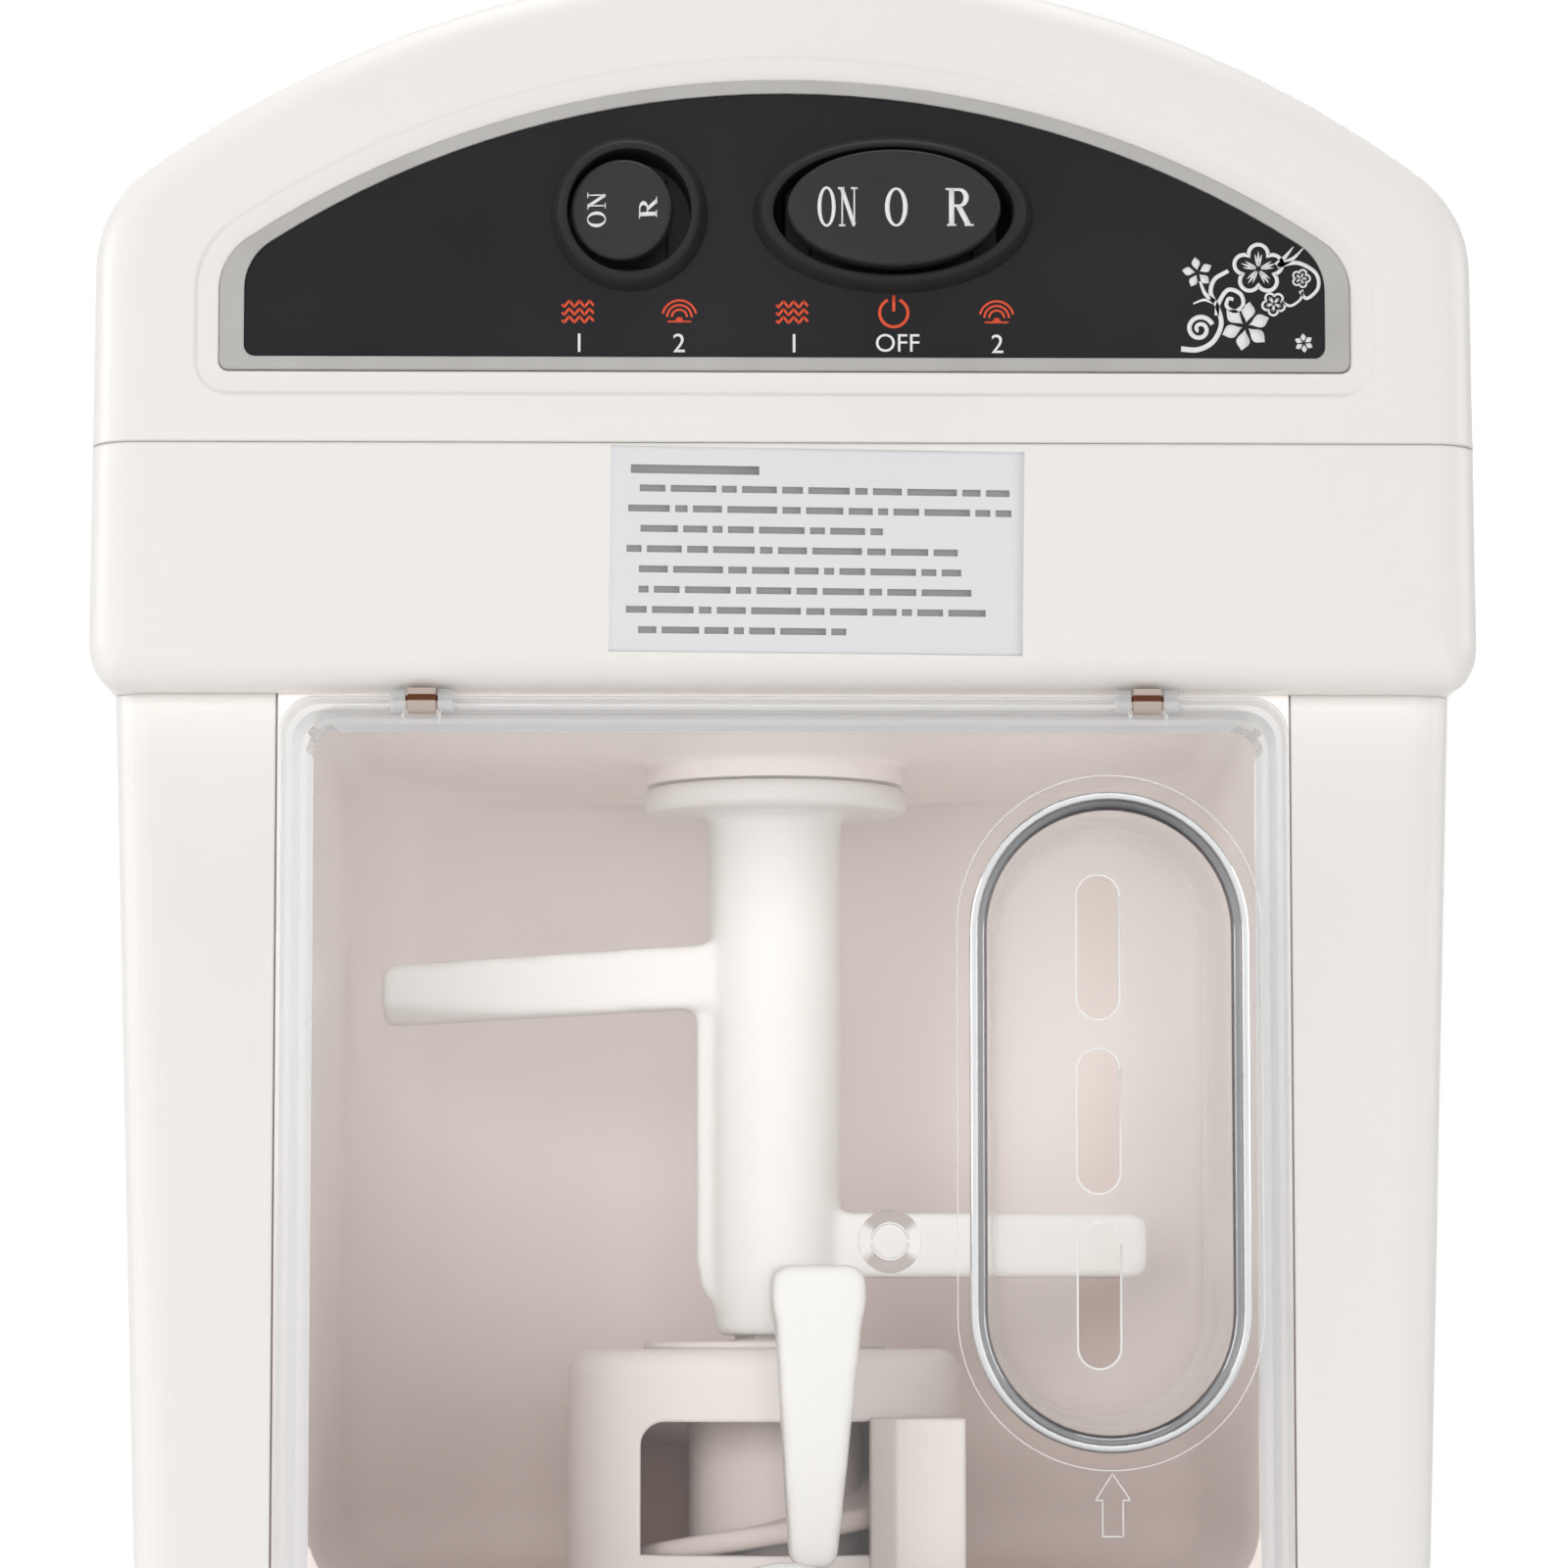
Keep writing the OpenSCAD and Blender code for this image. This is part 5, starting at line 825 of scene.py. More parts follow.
def head_under(inset, z_top, n=12):
    """Open outline round the head's underside: down the right side, the elliptic corner, across,
    and up the left side."""
    side = HEAD_HALF - HEAD_LEAN * (z_top - HEAD_WIDEST_Z)
    a = max(HEAD_CORNER_W - inset, 0.8)
    b = max(HEAD_CORNER_H - inset, 0.8)
    right = np.concatenate([[(side - inset, z_top)],
                            arc((HEAD_HALF - inset - a, HEAD_BOTTOM + inset + b), a, b, 0, -90, n)])
    return np.concatenate([right, right[::-1] * (-1, 1)])


def rolled_rings(outline, edge, front=FACE_Y, back=BACK_Y, n=12):
    """Rings of an outline from the front face to the back face, rolled over at both ends."""
    inset, depth = roll(edge, n)
    rows = [upright(outline(i), front + d) for i, d in zip(inset, depth)]
    rows += [upright(outline(i), back - d) for i, d in zip(inset[::-1], depth[::-1])]
    return np.stack(rows)


def seam_lip(half, z, z_lip, groove, edge):
    """Closed strip round the seam that turns in by the groove's depth."""
    def section(inset):
        r = edge - inset
        corners = [(half - edge, FACE_Y + edge, -90), (half - edge, BACK_Y - edge, 0),
                   (edge - half, BACK_Y - edge, 90), (edge - half, FACE_Y + edge, 180)]
        return np.concatenate([arc(c[:2], r, r, c[2], c[2] + 90, 12) for c in corners])
    rows = [np.insert(section(i), 2, level, axis=1) for i, level in ((0, z), (groove, z_lip))]
    return ("grid", np.stack(rows), True)


class PASTA_OT_head(bpy.types.Operator):
    """Head cover and head band as smooth rolled shells with a groove at their seam"""
    bl_idname = "pasta_maker.head"
    bl_label = "Head shells"

    def execute(self, context):
        s = context.scene.pasta_shells
        edge, groove, wall = s.edge / MM, s.groove / MM, s.wall / MM
        z_up, z_down = SEAM_Z + groove, SEAM_Z - groove
        half_up = head_over(0, z_up)[0][0]
        half_down = head_under(0, z_down)[0][0]

        # The front face runs from the rolled edge in to the trim's recess. The rolled edge has no
        # lower corners, so its ends are repeated for the points of the trim's corners.
        rings = rolled_rings(lambda i: head_over(i, z_up), edge)
        rim = upright(head_over(edge, z_up), FACE_Y)
        outer = np.concatenate([rim[:1].repeat(12, 0), rim, rim[-1:].repeat(12, 0)])
        inner = [(trim_line(4.0), FACE_Y), (trim_line(3.5), FACE_Y + 0.4), (trim_line(0.15), FACE_Y + 0.4),
                 (trim_line(0.15), PANEL_FLOOR_Y), (trim_line(-5.0), PANEL_FLOOR_Y)]
        cover = make("head_cover_shell", [
            ("grid", rings, False), ("grid", np.stack([outer] + [upright(o, y) for o, y in inner]), True),
            ("face", rings[-1]), seam_lip(half_up, z_up, SEAM_Z + 0.02, groove, edge)])
        place(walled(cover, wall, -1), MATERIALS["shell"], "main", "shell", "head_cover")

        # The band's underside is a ring round the opening over the tub and the motor
        rings = rolled_rings(lambda i: head_under(i, z_down), edge)
        n = 13
        middle = rings[n - 1:n + 1]
        floor, hole = [[(half, front, HEAD_BOTTOM), (-half, front, HEAD_BOTTOM),
                        (-half, back, HEAD_BOTTOM), (half, back, HEAD_BOTTOM)]
                       for half, front, back in (
                           (HEAD_HALF - HEAD_CORNER_W, FACE_Y + edge, BACK_Y - edge), BAND_HOLE)]
        band = make("head_band_shell", [
            ("grid", rings[:n], False), ("grid", rings[n:], False),
            ("grid", middle[:, :n + 1], False), ("grid", middle[:, n + 1:], False),
            ("grid", np.array([floor, hole], float), True), ("face", rings[0]), ("face", rings[-1]),
            seam_lip(half_down, z_down, SEAM_Z - 0.02, groove, edge)])
        place(walled(band, wall, -1), MATERIALS["shell"], "main", "shell", "head_band")
        return {"FINISHED"}


# ---------------------------------------------------------------- clear cover and fill port

COVER_STEPS = [(0.0, 0.0, 0.0), (0.0, 0.0, 1.6), (0.5, 0.6, 2.1), (1.5, 1.8, 5.6), (2.4, 2.7, 6.1),
               (3.6, 4.2, 10.1), (4.1, 4.7, 10.9), (4.9, 5.6, 11.35), (6.2, 6.9, COVER_DEPTH),
               (6.6, 7.3, COVER_DEPTH)]


def cover_rings(wall):
    """Round rectangles from the rim to the face; the wall's thickness moves them inwards and back.
    Each step is (side inset, top and bottom inset, depth ahead of the rim)."""
    rows = []
    for side, end, ahead in COVER_STEPS:
        half = COVER_HALF - side - wall
        r = max(COVER_CORNER - 0.15 * side - 0.5 * wall, 1.5)
        y = COVER_BACK_Y - min(ahead, COVER_DEPTH - wall)
        rows.append(upright(round_rect(half, COVER_LOW + end + wall, COVER_HIGH - end - wall, r), y))
    return rows


def notch_cheek(wall, x, half):
    """Closed slip along the cover's top wall: the wall's section in Y and Z, a little proud of it, between x
    - half and x + half. It is a painted highlight for the bright cut edge beside a hinge notch."""
    steps = [s for s in COVER_STEPS if s[1] < 4.5]
    out = [(COVER_BACK_Y - ahead - 0.12, COVER_HIGH - end + 0.12) for _, end, ahead in steps]
    back = [(y + wall * 0.7, z - wall * 0.5) for y, z in out[::-1]]
    loop = np.array([(x, y, z) for y, z in out + back])
    return capped("cheek", [loop + (shift, 0, 0) for shift in (-half, half)])


def port_ring(r):
    """The port's outline with ends of radius r."""
    return racetrack(2 * r, 2 * r + PORT_STRAIGHT)


def slot_outline(k, grow=0.0, n=16):
    """The upper, middle or lower slot in the pocket's floor, for k = 1, 0 or -1."""
    centre = (PORT[0], PORT[1] + SLOT_LIFT + k * SLOT_STEP)
    return racetrack(SLOT_W + grow, SLOT_H + grow, n, centre)


def looped(outline):
    """An outline with its first point again at its end."""
    return np.concatenate([outline, outline[:1]])


class PASTA_OT_cover(bpy.types.Operator):
    """Clear front cover with its stepped wall, hinge lugs, lock boss, dimple, fill port and pocket"""
    bl_idname = "pasta_maker.cover"
    bl_label = "Clear cover"

    def execute(self, context):
        s = context.scene.pasta_cover
        wall = s.wall / MM
        y = COVER_FACE_Y
        self.make_cover(wall, s.ring / MM, y)

        # A conical ring round a clear middle, on the cover's face
        cone = [(4.95, -0.02), (4.9, -0.34), (3.1, -0.06), (3.0, -0.2), (2.75, -0.2), (2.65, -0.02)]
        dimple = lofted("cover_dimple", DIMPLE, [(r, r, y + ahead) for r, ahead in cone], closed=True)
        place(dimple, MATERIALS["dimple"], "cover", "clear")
        # Painted highlights: bright slips beside the hinge notches and round the pocket's slots, for their
        # lit cut edges
        reach = NOTCH_HALF + CHEEK_HALF + 0.01
        cheeks = [notch_cheek(wall, side * HOOK_X + t * reach, CHEEK_HALF)
                  for side in (-1, 1) for t in (-1, 1)]
        place(join("notch_cheeks", cheeks), MATERIALS["slot_edges"], "cover", "clear")

        self.make_port(y)
        edges = [ribbon(looped(slot_outline(k, 0.2, 24)), 0.36) for k in (-1, 0, 1)]
        place(ink("slot_edges", edges, y + 26.14, raised=0.08), MATERIALS["slot_edges"], "cover", "clear")
        lines = [ribbon(looped(racetrack(*PORT_LINE, 48)), 0.22)]
        lines += [ribbon(side, 0.24) for side in zip(ARROW, ARROW[1:])]
        place(ink("moulded_lines", lines, y - 0.05, raised=0.14), MATERIALS["lines"], "cover", "clear")
        return {"FINISHED"}

    @staticmethod
    def make_cover(wall, ring, y):
        """The clear shell. Its walls and rim get the second material, a grey half-opaque finish that is a
        painted reflection: it stands in for the grey that the clear walls reflect and refract.
        """
        outer, inner = cover_rings(0.0), cover_rings(wall)
        rows = np.stack([*outer[::-1], *inner])
        cover = make("clear_cover", [("grid", rows, True), ("face", outer[-1]), ("face", inner[-1])])
        boss = lathe_y("boss", [(0, y + 0.4), (BOSS_R, y + 0.4), (BOSS_R, y + wall + 1.7),
                                (BOSS_R - 0.3, y + wall + 2), (0, y + wall + 2)], (0, LOCK_Z))
        lugs = [lathe_x("lug", LUG_R, side * HOOK_X + t * LUG_SHIFT, LUG_W)
                for side in (-1, 1) for t in (-1, 1)]
        cut(cover, boss, *lugs, operation="UNION")
        holes = [box_mesh("notch", (side * HOOK_X - NOTCH_HALF, HINGE_Y - 6.3, HINGE_Z - 2.3),
                          (side * HOOK_X + NOTCH_HALF, HINGE_Y + 7, HINGE_Z + 4)) for side in (-1, 1)]
        holes += [lathe_x("pin way", PIN_WAY_R, side * HOOK_X, 12.0) for side in (-1, 1)]
        holes.append(prism("port way", racetrack(PORT_W - 2 * ring + 0.3, PORT_H - 2 * ring + 0.3),
                           y - 3, y + wall + 3))
        holes.append(lathe_y("stem way", [(0, y - 3), (STEM_WAY_R, y - 3), (STEM_WAY_R, y + 10), (0, y + 10)],
                             (0, LOCK_Z)))
        cut(cover, *holes)
        smooth_by_angle(cover, 25)
        middles = np.empty(len(cover.data.polygons) * 3)
        cover.data.polygons.foreach_get("center", middles)
        x, _, z = middles.reshape(-1, 3).T / MM
        # Faces near the outline get the painted grey edge finish
        edge = ((np.abs(x) > COVER_HALF - COVER_SIDE_BAND) | (z > COVER_HIGH - COVER_END_BAND)
                | (z < COVER_LOW + COVER_END_BAND))
        place(cover, [MATERIALS["clear"], MATERIALS["clear_edge"]], "cover", "clear", "front_cover")
        cover.data.polygons.foreach_set("material_index", edge.astype(np.int32))

    @staticmethod
    def make_port(y):
        """The port's bright rim, and its pocket with three slots in the floor. Each profile is of
        (end radius, depth behind the face)."""
        rim = [(22.05, 0.0), (22.05, -0.6), (21.9, -1.1), (21.6, -1.35), (21.3, -1.4), (20.95, -1.3),
               (20.75, -1.0), (20.65, -0.55), (20.3, -0.35), (19.9, -0.1), (19.5, 0.3), (19.25, 0.9),
               (20.1, 0.95), (20.2, 0.0)]
        rings = np.stack([upright(port_ring(r), y + behind) for r, behind in rim + rim[:1]])
        place(make("fill_port_rim", [("grid", rings, True)]), MATERIALS["rim"], "cover", "clear")
        inside = [(19.9, 1.0), (19.4, 1.3), (18.8, 2.0), (18.35, 3.2), (17.7, 20.0), (17.3, 22.6),
                  (16.4, 24.6), (15.0, 25.8), (13.4, 26.2), (13.0, 26.2)]
        outside = [(12.8, 28.0), (13.2, 28.0), (15.6, 27.5), (17.3, 26.2), (18.5, 24.0), (19.2, 21.0),
                   (20.0, 6.0), (20.1, 2.4), (20.1, 1.0)]
        loops = np.stack([upright(port_ring(r), y + behind) for r, behind in inside + outside])
        n = len(inside)
        cup = make("fill_port_pocket", [
            ("grid", loops[:n], True), ("grid", loops[n:], True),
            ("grid", np.stack([loops[-1], loops[0]]), True), ("face", loops[n - 1]), ("face", loops[n])])
        cut(cup, *(prism("slot", slot_outline(k), y + 24, y + PORT_DEPTH + 2) for k in (-1, 0, 1)))
        smooth_by_angle(cup, 30)
        place(cup, MATERIALS["pocket"], "cover", "clear", "fill_port_cup")


# ---------------------------------------------------------------- stirrer and screw

def softened(name, source, voxel, rounds):
    """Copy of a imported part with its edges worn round: the skin is rebuilt on a grid of cubes, and
    each point is moved halfway to the mean of its neighbours, several times."""
    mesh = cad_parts[source].data.copy()
    tidy(mesh, 0.005)
    obj = new_object(name, mesh)
    grid = obj.modifiers.new("grid", "REMESH")
    grid.mode, grid.voxel_size, grid.use_smooth_shade = "VOXEL", voxel * MM, True
    wear = obj.modifiers.new("wear", "SMOOTH")
    wear.factor, wear.iterations = 0.5, rounds
    return settle(obj)


class PASTA_OT_stirrer(bpy.types.Operator):
    """Stirrer with soft moulded edges"""
    bl_idname = "pasta_maker.stirrer"
    bl_label = "Stirrer"

    def execute(self, context):
        s = context.scene.pasta_screw
        stirrer = softened("stirrer_moulding", "stirrer", s.grid / MM, s.wear)
        place(stirrer, MATERIALS["moving"], "drive", "white_moving", "stirrer")
        return {"FINISHED"}


class PASTA_OT_screw(bpy.types.Operator):
    """Screw with a smooth helical flight, a neck, a hexagon and a pin"""
    bl_idname = "pasta_maker.screw"
    bl_label = "Press screw"

    def execute(self, context):
        s = context.scene.pasta_screw
        pitch, reach, core = s.pitch / MM, s.radius / MM, s.core / MM
        z_a, z_b, start = SCREW_LOW, SCREW_HIGH, math.radians(FLIGHT_START)
        # Round the axis at angle t the flight's middle is at z = z_a + pitch (t - start) / turn.
        # Its section runs from the core out along the lower face, round the tip and back.
        t = np.linspace(start - 0.45, start + TAU * (z_b - z_a) / pitch + 0.45, 220)
        section = np.array([(core - 1, -1), (reach - 0.9, -1), (reach - 0.25, -0.75), (reach, -0.3),
                            (reach, 0.3), (reach - 0.25, 0.75), (reach - 0.9, 1), (core - 1, 1)])
        middle = z_a + pitch * (t - start) / TAU
        z = np.clip(middle[:, None] + FLIGHT_HALF * section[None, :, 1], z_a, z_b)
        x, y = section[:, 0] * np.cos(t[:, None]), DRIVE_Y + section[:, 0] * np.sin(t[:, None])
        flight = capped("flight", np.stack([x, y, z], -1), weld=0.001)
        body = lathe_z("core", [
            (0, 61), (3.4, 61), (4, 61.6), (4, 70), (5, 71), (core - 0.6, z_a), (core, z_a + 0.6),
            (core, z_b - 0.6), (core - 0.6, z_b), (8.2, z_b), (8.2, 155.4), (6.4, 155.4), (0, 155.4)],
            (0, DRIVE_Y))
        t = np.linspace(0, TAU, 6, endpoint=False)
        hexagon = np.stack([HEX_R * np.cos(t), DRIVE_Y + HEX_R * np.sin(t)], -1)
        head = capped("hexagon", [np.insert(hexagon, 2, z, axis=1) for z in (HEX_LOW, HEX_HIGH)])
        screw = join("press_screw", [flight, body, head])
        smooth_by_angle(screw, 40)
        place(screw, MATERIALS["screw"], "drive", "auger_plastic", "auger")
        return {"FINISHED"}


# ---------------------------------------------------------------- switches

def bezel_rings(a, b, hole_a, hole_b):
    """Profile of a switch bezel: a conical flank, a soft top edge and a tube through the panel.
    Each step is (half width, half height, y)."""
    y = BEZEL_FRONT_Y
    flank = [(0, PANEL_Y), (-0.15, PANEL_Y - 0.5), (-1.2, y + 0.55), (-1.55, y + 0.15), (-1.95, y)]
    tube = [(0.45, y), (0.12, y + 0.15), (0, y + 0.5), (0, BEZEL_BACK_Y), (1.7, BEZEL_BACK_Y), (1.7, PANEL_Y)]
    return [(a + d, b + d, at) for d, at in flank] + [(hole_a + d, hole_b + d, at) for d, at in tube]


DISH = 0.35
DISH_REACH = 0.9


def dish_depth(share):
    """Depth of a rocker's dish: DISH (1 - (share / DISH_REACH)^2) at a share of the way out."""
    return DISH * np.clip(1 - (share / DISH_REACH) ** 2, 0, 1)


def rocker_rings(a, b, swing, depth):
    """Profile of a rocker: a shallow dished face, a soft edge and a skirt."""
    y = PIVOT_Y - swing
    face = [(a * f, b * f, y + float(dish_depth(f))) for f in np.linspace(0, DISH_REACH, 8)]
    side = [(a - 0.35, b - 0.35, y + 0.1), (a - 0.08, b - 0.08, y + 0.4), (a, b, y + 0.8), (a, b, y + depth)]
    stem = [(a - 2.2, b - 2.0, y + depth + 0.6), (a - 2.2, b - 2.0, PIVOT_Y + 0.4), (0, 0, PIVOT_Y + 0.4)]
    return face + side + stem


class PASTA_OT_switches(bpy.types.Operator):
    """Bezels and rockers of both switches as smooth lofts"""
    bl_idname = "pasta_maker.switches"
    bl_label = "Switches"

    def execute(self, context):
        for name, x, a, b, hole_a, hole_b in (("round_bezel", ROUND_X, 12.5, 12.5, 9.8, 9.8),
                                              ("oval_bezel", OVAL_X, 22.3, 12.7, 19.0, 10.2)):
            obj = lofted(name + "_ring", (x, SWITCH_Z), bezel_rings(a, b, hole_a, hole_b), 96, closed=True)
            place(obj, MATERIALS["bezel"], "main", "switch_black", name)
        for name, x, size, swing, depth, tilt, body in (
                ("round_rocker", ROUND_X, ROUND_ROCKER, ROUND_SWING, 2.6, ROUND_TILT, "round_switch"),
                ("oval_rocker", OVAL_X, OVAL_ROCKER, OVAL_SWING, 5.0, 0.0, "oval_switch")):
            obj = lofted(name + "_key", (x, SWITCH_Z), rocker_rings(*size, swing, depth), 96, tilt)
            place(obj, MATERIALS["switch"], body, "switch_black", name)
        return {"FINISHED"}


# ---------------------------------------------------------------- prints

INK = 0.06


def ink(name, outlines, y, tilt=0.0, at=(0.0, 0.0), raised=INK, dish=None):
    """Thin raised shapes from strips and outlines. A strip is an array [n, 2, 2] of left and right
    edge points; an outline is [n, 2]. Local X and Z are turned by tilt about the pivot's axis.
    dish gives the half sizes of a dished face that the shapes follow."""
    patches = []
    for shape in outlines:
        shape = np.asarray(shape, float)
        points = upright(shape, 0.0)
        patches.append(("grid", points, False) if shape.ndim == 3 else ("face", points))
    obj = laid(name, patches, raised, 0, weld=0.001)
    co = get_points(obj.data) / MM
    turn = math.radians(tilt)
    depth = co[:, 1] + y - PIVOT_Y
    if dish:
        depth += dish_depth(np.hypot(co[:, 0] / dish[0], co[:, 2] / dish[1]))
    x = math.cos(turn) * co[:, 0] - math.sin(turn) * depth
    back = PIVOT_Y + math.sin(turn) * co[:, 0] + math.cos(turn) * depth
    out = np.stack([x + at[0], back, co[:, 2] + at[1]], -1) * MM
    obj.data.vertices.foreach_set("co", out.ravel())
    return obj


def face_front(mesh):
    """Turns every face of a flat print towards -Y."""
    with editing(mesh) as bm:
        bm.normal_update()
        bmesh.ops.reverse_faces(bm, faces=[f for f in bm.faces if f.normal.y > 0])


def ribbon(points, width, taper=None):
    """Strip along a curve: each point is moved half a width along the curve's normal to either
    side. taper scales the width along it."""
    points = np.asarray(points, float)
    along = np.gradient(points, axis=0)
    along /= np.linalg.norm(along, axis=1)[:, None]
    normal = np.stack([-along[:, 1], along[:, 0]], -1)
    half = np.full(len(points), width / 2) if taper is None else np.asarray(taper) * width / 2
    return np.stack([points + normal * half[:, None], points - normal * half[:, None]], 1)


def curve(*knots, n=24):
    """Smooth curve through knots, a Catmull-Rom spline."""
    p = np.asarray(knots, float)
    p = np.concatenate([[2 * p[0] - p[1]], p, [2 * p[-1] - p[-2]]])
    t = np.linspace(0, 1, n, endpoint=False)[:, None]
    parts = []
    for i in range(1, len(p) - 2):
        a, b, c, d = p[i - 1:i + 3]
        parts.append(0.5 * (2 * b + (c - a) * t + (2 * a - 5 * b + 4 * c - d) * t ** 2
                            + (3 * b - a - 3 * c + d) * t ** 3))
    return np.concatenate(parts + [p[-2:-1]])


def spiral(centre, r_out, r_in, start, turns, n=60):
    """Curve whose radius falls evenly from r_out to r_in over the turns."""
    s = np.linspace(0, 1, n)
    a = np.radians(start) + TAU * turns * s
    r = r_out + (r_in - r_out) * s
    return np.stack([centre[0] + r * np.cos(a), centre[1] + r * np.sin(a)], -1)


def petal(centre, r, angle, spread, inner=0.12, point=0.0, n=16):
    """Closed leaf shape from the flower's middle outwards: half width follows a sine along its
    length, and point pulls the end out."""
    s = np.linspace(0, 1, n)
    length = inner * r + (r - inner * r) * s
    half = r * spread * np.sin(math.pi * s ** (0.75 + point)) ** (0.8 + point)
    c, w = math.cos(math.radians(angle)), math.sin(math.radians(angle))
    left = np.stack([length * c - half * w, length * w + half * c], -1)
    right = np.stack([length * c + half * w, length * w - half * c], -1)[::-1]
    return np.concatenate([left, right[1:-1]]) + centre


def scroll_shapes():
    """A common floral scroll: two outlined and two filled blossoms on a curling stem."""
    shapes = []

    def stem(points, width, a=1.0, b=1.0):
        shapes.append(ribbon(points, width, np.linspace(a, b, len(points))))

    stem(curve((62.9, 312.0), (65.6, 311.9), (68.0, 313.2), (69.3, 315.9), (68.8, 318.6), (67.7, 321.0),
               (68.3, 323.2), (70.5, 324.6)), 1.15, 0.75, 0.55)
    stem(spiral((65.9, 315.2), 2.15, 0.35, 20, 1.6), 0.75, 1.0, 0.8)
    stem(curve((68.6, 317.4), (68.9, 319.3), (70.4, 321.5), (72.4, 320.9), (72.8, 319.1), (71.5, 318.1),
               (70.2, 318.9), (70.5, 320.1), (71.3, 320.0)), 0.6, 1.2, 0.9)
    stem(curve((68.3, 319.6), (66.8, 320.9), (66.0, 322.9)), 0.6, 1.3, 0.7)
    stem(curve((68.2, 319.5), (66.6, 319.9), (64.9, 319.3)), 0.5, 1.2, 0.5)
    stem(curve((78.3, 325.4), (81.6, 325.9), (84.4, 324.3), (84.8, 321.9), (83.0, 320.2), (81.9, 321.4)),
         0.62, 1.1, 0.8)
    stem(curve((79.0, 319.6), (80.4, 319.0), (82.0, 320.1), (82.3, 321.6)), 0.5, 0.9, 0.7)
    stem(curve((78.2, 325.5), (79.6, 326.9), (80.9, 328.5)), 1.0, 1.0, 0.15)
    stem(curve((78.6, 325.5), (80.8, 326.6), (82.5, 328.3)), 1.0, 1.0, 0.15)
    # Outlined blossoms: r = R (1 + k |cos(2.5 a)|) gives five round lobes
    for (cx, cz), size, width, twist in (((75.3, 324.9), 2.9, 0.62, 18), ((77.7, 319.3), 1.35, 0.36, 50),
                                         ((82.1, 323.4), 1.05, 0.3, 0)):
        a = np.linspace(0, TAU, 121)
        r = size * (0.86 + 0.5 * np.abs(np.cos(2.5 * (a - math.radians(twist)))) ** 0.7)
        stem(np.stack([cx + r * np.cos(a), cz + r * np.sin(a)], -1), width)
        for k in range(5):
            for off, share in ((-13, 0.86), (0, 1.0), (13, 0.86)):
                shapes.append(petal((cx, cz), size * share, twist + 72 * k + off, 0.065, 0.16))
    for (cx, cz), size, count, twist in (((73.2, 315.7), 4.0, 6, 80), ((65.6, 324.3), 2.5, 5, 100),
                                         ((82.45, 313.0), 1.55, 6, 95)):
        for k in range(count):
            shapes.append(petal((cx, cz), size, twist + 360 * k / count, 0.27, 0.14, 0.45))
    return shapes


def symbol_shapes():
    """Waves over the first keys, arcs over a dome on a line for the others, and a power sign."""
    shapes = []
    x = np.linspace(-2.5, 2.5, 61)
    zigzag = 0.42 * (2 / math.pi) * np.arcsin(np.sin(x * TAU / 1.62 + 0.6)) * 1.2
    for cx in (-32.9, 1.1):
        for dz in (1.25, 0.0, -1.25):
            shapes.append(ribbon(np.stack([cx + x, 317.75 + dz + zigzag], -1), 0.42))
    for cx in (-16.8, 33.6):
        for r, low in ((2.7, 12), (1.95, 0), (1.2, 0)):
            shapes.append(ribbon(arc((cx, 316.9), r, r, low, 180 - low, 24), 0.36))
        shapes.append(arc((cx, 316.35), 0.62, 0.62, 0, 180, 12))
        shapes.append(ribbon([(cx - 1.9, 316.2), (cx + 1.9, 316.2)], 0.3))
    shapes.append(ribbon(arc((17.25, 317.7), 2.25, 2.25, 114, 426, 48), 0.5))
    shapes.append(ribbon([(17.25, 317.9), (17.25, 320.5)], 0.5))
    return shapes


def text_mesh(name, words, size):
    """Built-in letters as a flat mesh centred on its own middle, in X and Z."""
    data = bpy.data.curves.new(name, "FONT")
    data.body = words
    data.size = size * MM
    data.align_x = data.align_y = "CENTER"
    data.resolution_u = 6
    obj = new_object(name, data)
    bpy.context.view_layer.update()
    mesh = bpy.data.meshes.new_from_object(obj.evaluated_get(bpy.context.evaluated_depsgraph_get()))
    bpy.data.objects.remove(obj)
    co = get_points(mesh)
    flat = co - (co.min(0) + co.max(0)) / 2
    mesh.vertices.foreach_set("co", np.stack([flat[:, 0], np.zeros(len(co)), flat[:, 1]], -1).ravel())
    return mesh


def letters(name, items, y):
    """Legends from (words, size, x, z), as one thin raised mesh at depth y."""
    mesh = bpy.data.meshes.new(name)
    with editing(mesh, fill=False) as bm:
        for words, size, x, z in items:
            part = text_mesh(name, words, size)
            part.transform(Matrix.Translation(Vector((x, y, z)) * MM))
            bm.from_mesh(part)
    face_front(mesh)
    return settle(walled(new_object(name, mesh), INK, 0))


